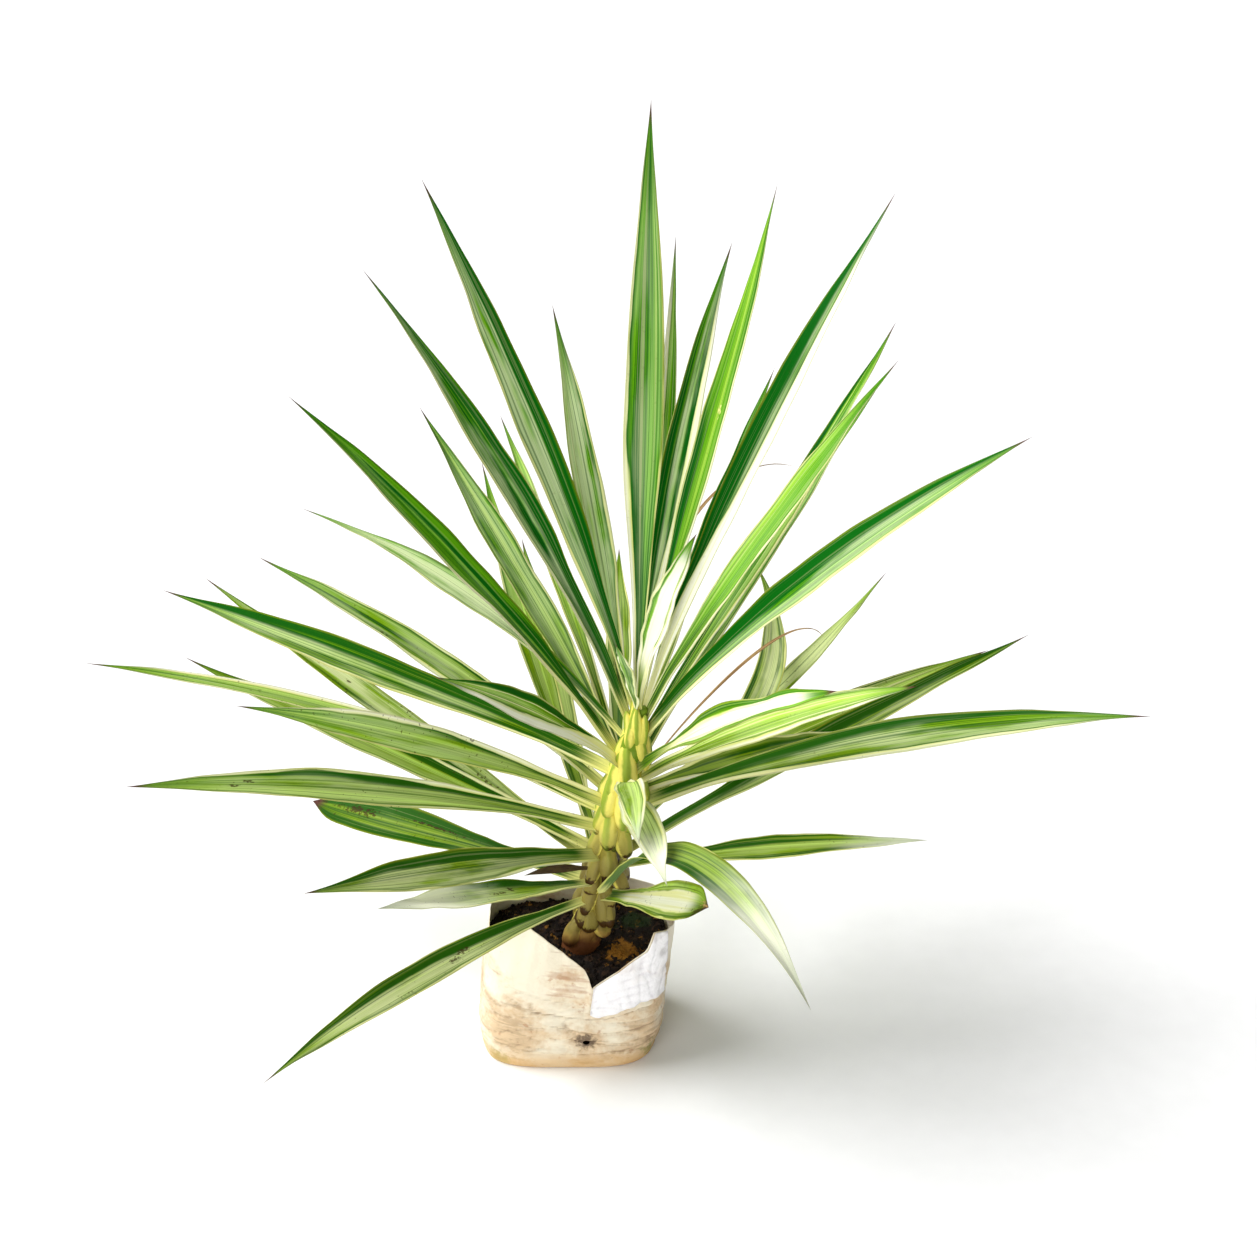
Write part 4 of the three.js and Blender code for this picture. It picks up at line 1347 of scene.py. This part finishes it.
def film_relief(turn, height):
    """Where the film stands in or out, in millimetres, and how deep it is creased, from 0 to 1."""
    seat = Vector((math.cos(turn), math.sin(turn), 0)) * 1.5

    def swell(spread, level):
        """Smooth noise round the bag. spread is how often it changes on the way."""
        return wave(seat.x * spread, seat.y * spread, level)

    slack = swell(1, height / 30) * 1.2
    low = within((FOLD_LEVEL - height) / FADE) * min(1, height / 8)
    relief = slack * min(1, height / 12)
    crease = 0.0
    for spread, rise, depth in SLACK_CREASES:
        groove = valley(swell(spread, height / rise + 5), 4)
        relief -= groove * depth * low
        crease = max(crease, (groove - 0.7) * low * depth)
    relief += swell(7, height / 5) * 0.3 * min(1, height / 10)
    relief += swell(5, height / 45 + 9) * 1.6 * within((height - FOLD_LEVEL) / FADE)
    away = from_split(turn)
    for fold, depth in FILM_FOLDS:
        if fold[0][0] < away < fold[-1][0]:
            gap = height - along_line(fold, away)
            ends = min(1, (away - fold[0][0]) / 8, (fold[-1][0] - away) / 8)
            groove = math.exp(-((gap + 0.9) / 1.2) ** 2)
            relief += 2.2 * depth * ends * (math.exp(-((gap - 1.6) / 1.7) ** 2) - groove)
            crease = max(crease, groove * ends * depth)
    foot, end = SPLIT_SEAM
    if foot < height < end and abs(away + 0.5) < 4:
        relief += 1.8 * math.exp(-((away + 0.5) / 1.3) ** 2) * min(1, (height - foot) / 6)
    return max(DEEPEST, min(relief, PROUDEST)), crease


def film_point(turn, height, stand_off=0.0):
    """A point of the film in metres."""
    reach, shift = bag_reach(turn, height)
    reach += film_relief(turn, height)[0] + stand_off
    return Vector((shift + reach * math.cos(turn), reach * math.sin(turn), height)) * MM


def film_mesh(name, points, faces, creases):
    """A mesh that carries how deep each point lies in a crease, for the dirt and painted shade that the
    material puts there.
    """
    mesh = bpy.data.meshes.new(name)
    mesh.from_pydata(points, [], faces)
    mesh.attributes.new("crease", "FLOAT", "POINT")
    mesh.attributes["crease"].data.foreach_set("value", creases)
    tidy_faces(mesh)
    return mesh


def bag_film(sizes):
    """The bag as one closed film: outside, rim, inside and base."""
    levels = sizes.upward
    around = sizes.around
    rings = []
    for step in range(levels + 1):
        t = step / levels
        ring = []
        for side in range(around):
            turn = math.radians(SPLIT_ANGLE) + 2 * math.pi * side / around
            straight = FOLD_LEVEL * min(1, t / FOLD_SHARE) ** 1.25
            past = max(0, (t - FOLD_SHARE) / (1 - FOLD_SHARE))
            ring.append((turn, straight + (bag_rim(turn) - FOLD_LEVEL) * past))
        rings.append(ring)
    gauge = sizes.film_gauge / MM
    points = [film_point(turn, height) for ring in rings for turn, height in ring]
    creases = [film_relief(turn, height)[1] for ring in rings for turn, height in ring]
    for ring in reversed(rings):
        points += [film_point(turn, max(height, gauge), -gauge) for turn, height in ring]
        creases += [0.0] * len(ring)
    steps = 2 * levels + 1
    faces = ring_faces(steps, around)
    faces.append(tuple(range(around)))
    faces.append(tuple(range(steps * around, (steps + 1) * around)))
    return film_mesh("grow_bag_film", points, faces, creases)


def bag_flap(sizes):
    """The torn film right of the split, folded down over the front and crumpled."""
    columns, rows = FLAP_COLUMNS, FLAP_ROWS
    outer = []
    creases = []
    for column in range(columns + 1):
        away = FLAP_EDGE[0][0] + (FLAP_EDGE[-1][0] - FLAP_EDGE[0][0]) * column / columns
        turn = math.radians(SPLIT_ANGLE + away)
        low = along_line(FLAP_EDGE, away) + 1.2 * wave(away / 4, 0, 8)
        high = bag_rim(turn) + 0.3
        lifted = 1.2 + 1.5 * wave(away / 7, 4, 0)
        for row in range(rows + 1):
            t = row / rows
            height = low + (high - low) * t
            slant = wave(away / 22 + height / 40, (height - away * 0.7) / 9, 3)
            upright = wave(away / 6, height / 26, 7)
            pleat = valley(slant, 3.5) * 0.7 + valley(upright, 3.5) * 0.5
            lift =2.4 + lifted * (1 - t) ** 4 - 1.5 * pleat * math.sin(math.pi * min(1, t + 0.12))
            outer.append(film_point(turn, height, max(0.7, lift)))
            creases.append(max(0.0, pleat - 0.45))
    inner = []
    for place in outer:
        away = Vector((place.x - 2 * MM, place.y, 0)).normalized()
        inner.append(place - away * sizes.film_gauge)
    size = len(outer)
    wide = rows + 1
    faces = []
    for column in range(columns):
        for row in range(rows):
            a = column * wide + row
            faces.append((a, a + wide, a + wide + 1, a + 1))
            faces.append((size + a, size + a + 1, size + a + wide + 1, size + a + wide))
    edge = list(range(rows + 1))
    edge += [column * wide + rows for column in range(1, columns + 1)]
    edge += [columns * wide + row for row in range(rows - 1, -1, -1)]
    edge += [column * wide for column in range(columns - 1, 0, -1)]
    for one, other in zip(edge, edge[1:] + edge[:1]):
        faces.append((one, other, size + other, size + one))
    return film_mesh("grow_bag_flap", outer + inner, faces, creases * 2)


def punch_drain(piece, sizes):
    """Cuts the two small drain holes through the front and the back."""
    tool = bmesh.new()
    place = Matrix.Translation((sizes.hole_x, 0, sizes.hole_z)) @ Matrix.Rotation(math.pi / 2, 4, "X")
    rod = {"segments": 24, "radius1": sizes.hole / 2, "radius2": sizes.hole / 2, "depth": 0.3}
    bmesh.ops.create_cone(tool, cap_ends=True, matrix=place, **rod)
    mesh = bpy.data.meshes.new("drain_punch")
    tool.to_mesh(mesh)
    tool.free()
    punch = new_object("drain_punch", mesh)
    cut =piece.modifiers.new("drain", "BOOLEAN")
    cut.operation = "DIFFERENCE"
    cut.object = punch
    cut.solver = "EXACT"
    plain_mesh(piece)
    bpy.data.objects.remove(punch)


def film_skin(name, sizes, clean):
    """Milky film, stained by soil, blotched, with dirt and painted shade in its creases, mossy in its low
    corners and grimy at the hole. The flap also has painted shade in its folds.
    """
    material, board = finish(name)
    is_flap = clean > 0.5
    dirty = 1.0 - clean
    place = board.object_place()
    x, y, z = board.split(place)
    sagging = z + x * 0.12

    def level_lines(along, upward, detail):
        return board.clouds(board.join(x * along, y * along, sagging * upward), detail=detail)

    streaks = level_lines(26.0, 44.0, detail=5.0)
    hairs = level_lines(24.0, 230.0, detail=4.0)
    broad = board.clouds(place, scale=22.0, detail=4.0)
    fine = board.clouds(place, scale=260.0, detail=4.0)
    crease = board.painted_value("crease")

    def near(spot):
        return near_spot(board, place, *spot)

    low = 1.0 - board.rise(z, 0.01, 0.14)
    mess = streaks.sway(2.6) + broad.sway(2.0) + fine.sway(0.8) + low * 0.4
    stain = board.rise(mess, -0.1, 0.85) * dirty
    lines = board.rise(hairs.sway(2.0) + mess * 0.3, 0.34, 0.5) * dirty
    blotch = (near(RUST_MARKS[0]) + near(RUST_MARKS[1])) * 0.5 + streaks.sway(2.5) + hairs.sway(4.0)
    speck = board.rise(board.clouds(place, scale=130.0, detail=3.0) + broad.sway(0.6), 0.68, 0.78)
    # Dirt and painted shade in the creases of the film.
    dirt = board.rise(crease + fine.sway(0.6) + streaks.sway(1.6), 0.15, 1.0)
    corner = board.most(near(LEFT_ALGAE), near(RIGHT_ALGAE) * 0.6)
    hole = near(((sizes.hole_x / MM, DRAIN_FACE, sizes.hole_z / MM), DRAIN_GRIME))
    coats = [
        (sizes.stain, stain * 0.62),
        (sizes.crease, lines * 0.26),
        (sizes.rust, board.most(board.rise(blotch, 0.4, 1.0) * 0.4, speck * 0.5) * dirty),
        # Dirt and painted shade in the creases, light on the flap.
        (sizes.crease, dirt * (0.12 if is_flap else 0.6)),
        (sizes.algae, board.rise(corner + broad.sway(1.3) + fine.sway(0.6), 0.35, 0.75) * 0.8),
        (sizes.sole, (1.0 - board.rise(z + broad.sway(0.02), 0.003, 0.022)) * 0.6),
        (sizes.grime, board.rise(hole + fine.sway(1.2) + streaks.sway(1.6), 0.45, 0.9) * 0.8),
        (sizes.grime, board.rise(near(SMUDGE) + fine.sway(0.5), 0.25, 0.8) * 0.35),
    ]
    # Painted shade: grey in the flap's folds, where it is creased.
    if is_flap:
        coats.insert(4, (sizes.fold, board.rise(crease, 0.0, 0.9) * 0.32))
    painted = board.coats(sizes.flap if is_flap else sizes.film, *coats)
    relief = streaks * 0.8 + fine * 0.35 + broad * 0.4
    surface(board, painted, 0.42 + stain * 0.25 + fine.sway(0.1), relief, depth=1.5 * MM)
    return material


class YUCCA_OT_grow_bag(bpy.types.Operator):
    """Build the wrinkled film of the grow bag and its folded flap."""

    bl_idname = "mesh.yucca_grow_bag"
    bl_label = "Grow bag"

    def execute(self, context):
        sizes = context.scene.yucca_bag
        film = new_object("grow_bag_film", bag_film(sizes))
        flap = new_object("grow_bag_flap", bag_flap(sizes))
        punch_drain(film, sizes)
        film.data.materials.append(film_skin("yucca_bag_film", sizes, clean=0.0))
        flap.data.materials.append(film_skin("yucca_bag_flap", sizes, clean=0.8))
        settle(film, "bag_film", "grow_bag")
        settle(flap, "bag_film")
        return {"FINISHED"}


def lamp(kind, name, place, power):
    """A light that shines from its place towards the middle of the plant."""
    light = bpy.data.lights.new(name, kind)
    light.energy = power
    holder = new_object(name, light)
    holder.location = place
    holder.rotation_euler = (Vector(LIGHT_AIM) - Vector(place)).to_track_quat("-Z", "Y").to_euler()
    return light


class YUCCA_OT_stage(bpy.types.Operator):
    """Set up the floor, the lights and the camera."""

    bl_idname = "scene.yucca_stage"
    bl_label = "Stage"

    def execute(self, context):
        sizes = context.scene.yucca_stage
        mesh = bpy.data.meshes.new("studio_floor")
        reach = sizes.reach
        corners = ((-reach, -reach), (reach, -reach), (reach, reach), (-reach, reach))
        mesh.from_pydata([(x, y, FLOOR_HEIGHT) for x, y in corners], [], [(0, 1, 2, 3)])
        floor = new_object("studio_floor", mesh)
        material, board = finish("studio_paper")
        grain = board.clouds(board.object_place(), scale=40.0, detail=4.0)
        surface(board, board.blend(sizes.floor, sizes.grain, grain), 0.9, grain, depth=0.02 * MM)
        mesh.materials.append(material)
        target = Vector((sizes.target_x, 0, sizes.target_z))
        away = Vector((0, -math.cos(sizes.tilt), math.sin(sizes.tilt)))
        lens = bpy.data.cameras.new("photo_camera")
        lens.lens = sizes.lens
        lens.sensor_width = SENSOR
        lens.sensor_height = SENSOR
        camera = new_object("photo_camera", lens)
        camera.location = target + away * sizes.distance
        camera.rotation_euler = (math.pi / 2 - sizes.tilt, 0, 0)
        context.scene.camera = camera
        sun = lamp("SUN", "key_light", KEY_PLACE, sizes.key)
        sun.angle = sizes.softness
        fill = lamp("AREA", "fill_light", FILL_PLACE, sizes.fill)
        fill.size = sizes.fill_size
        world = bpy.data.worlds.new("white_room")
        context.scene.world = world
        world.use_nodes = True
        back = world.node_tree.nodes["Background"]
        back.inputs["Color"].default_value = (1, 1, 1, 1)
        back.inputs["Strength"].default_value = sizes.sky
        context.scene.view_settings.view_transform = "Standard"
        return {"FINISHED"}


class YUCCA_PT_parts(bpy.types.Panel):
    """The plant's pieces and its stage, in the order in which they are made."""

    bl_label = "Potted yucca"
    bl_idname = "YUCCA_PT_parts"
    bl_space_type = "VIEW_3D"
    bl_region_type = "UI"
    bl_category = "Yucca"

    def draw(self, context):
        for step in STEPS:
            self.layout.operator(step.bl_idname)


GROUPS = {
    "yucca_leaves": YUCCA_PG_leaves,
    "yucca_stem": YUCCA_PG_stem,
    "yucca_soil": YUCCA_PG_soil,
    "yucca_bag": YUCCA_PG_bag,
    "yucca_stage": YUCCA_PG_stage,
}
STEPS = (
    YUCCA_OT_leaves,
    YUCCA_OT_dry_leaves,
    YUCCA_OT_stem,
    YUCCA_OT_soil,
    YUCCA_OT_grow_bag,
    YUCCA_OT_stage,
)


def register():
    for name, group in GROUPS.items():
        bpy.utils.register_class(group)
        setattr(bpy.types.Scene, name, bpy.props.PointerProperty(type=group))
    for step in STEPS:
        bpy.utils.register_class(step)
    bpy.utils.register_class(YUCCA_PT_parts)


def unregister():
    bpy.utils.unregister_class(YUCCA_PT_parts)
    for step in reversed(STEPS):
        bpy.utils.unregister_class(step)
    for name, group in GROUPS.items():
        delattr(bpy.types.Scene, name)
        bpy.utils.unregister_class(group)


def main():
    register()
    bpy.ops.mesh.yucca_leaves()
    bpy.ops.mesh.yucca_dry_leaves()
    bpy.ops.mesh.yucca_stem()
    bpy.ops.mesh.yucca_soil()
    bpy.ops.mesh.yucca_grow_bag()
    bpy.ops.scene.yucca_stage()


if __name__ == "__main__":
    main()
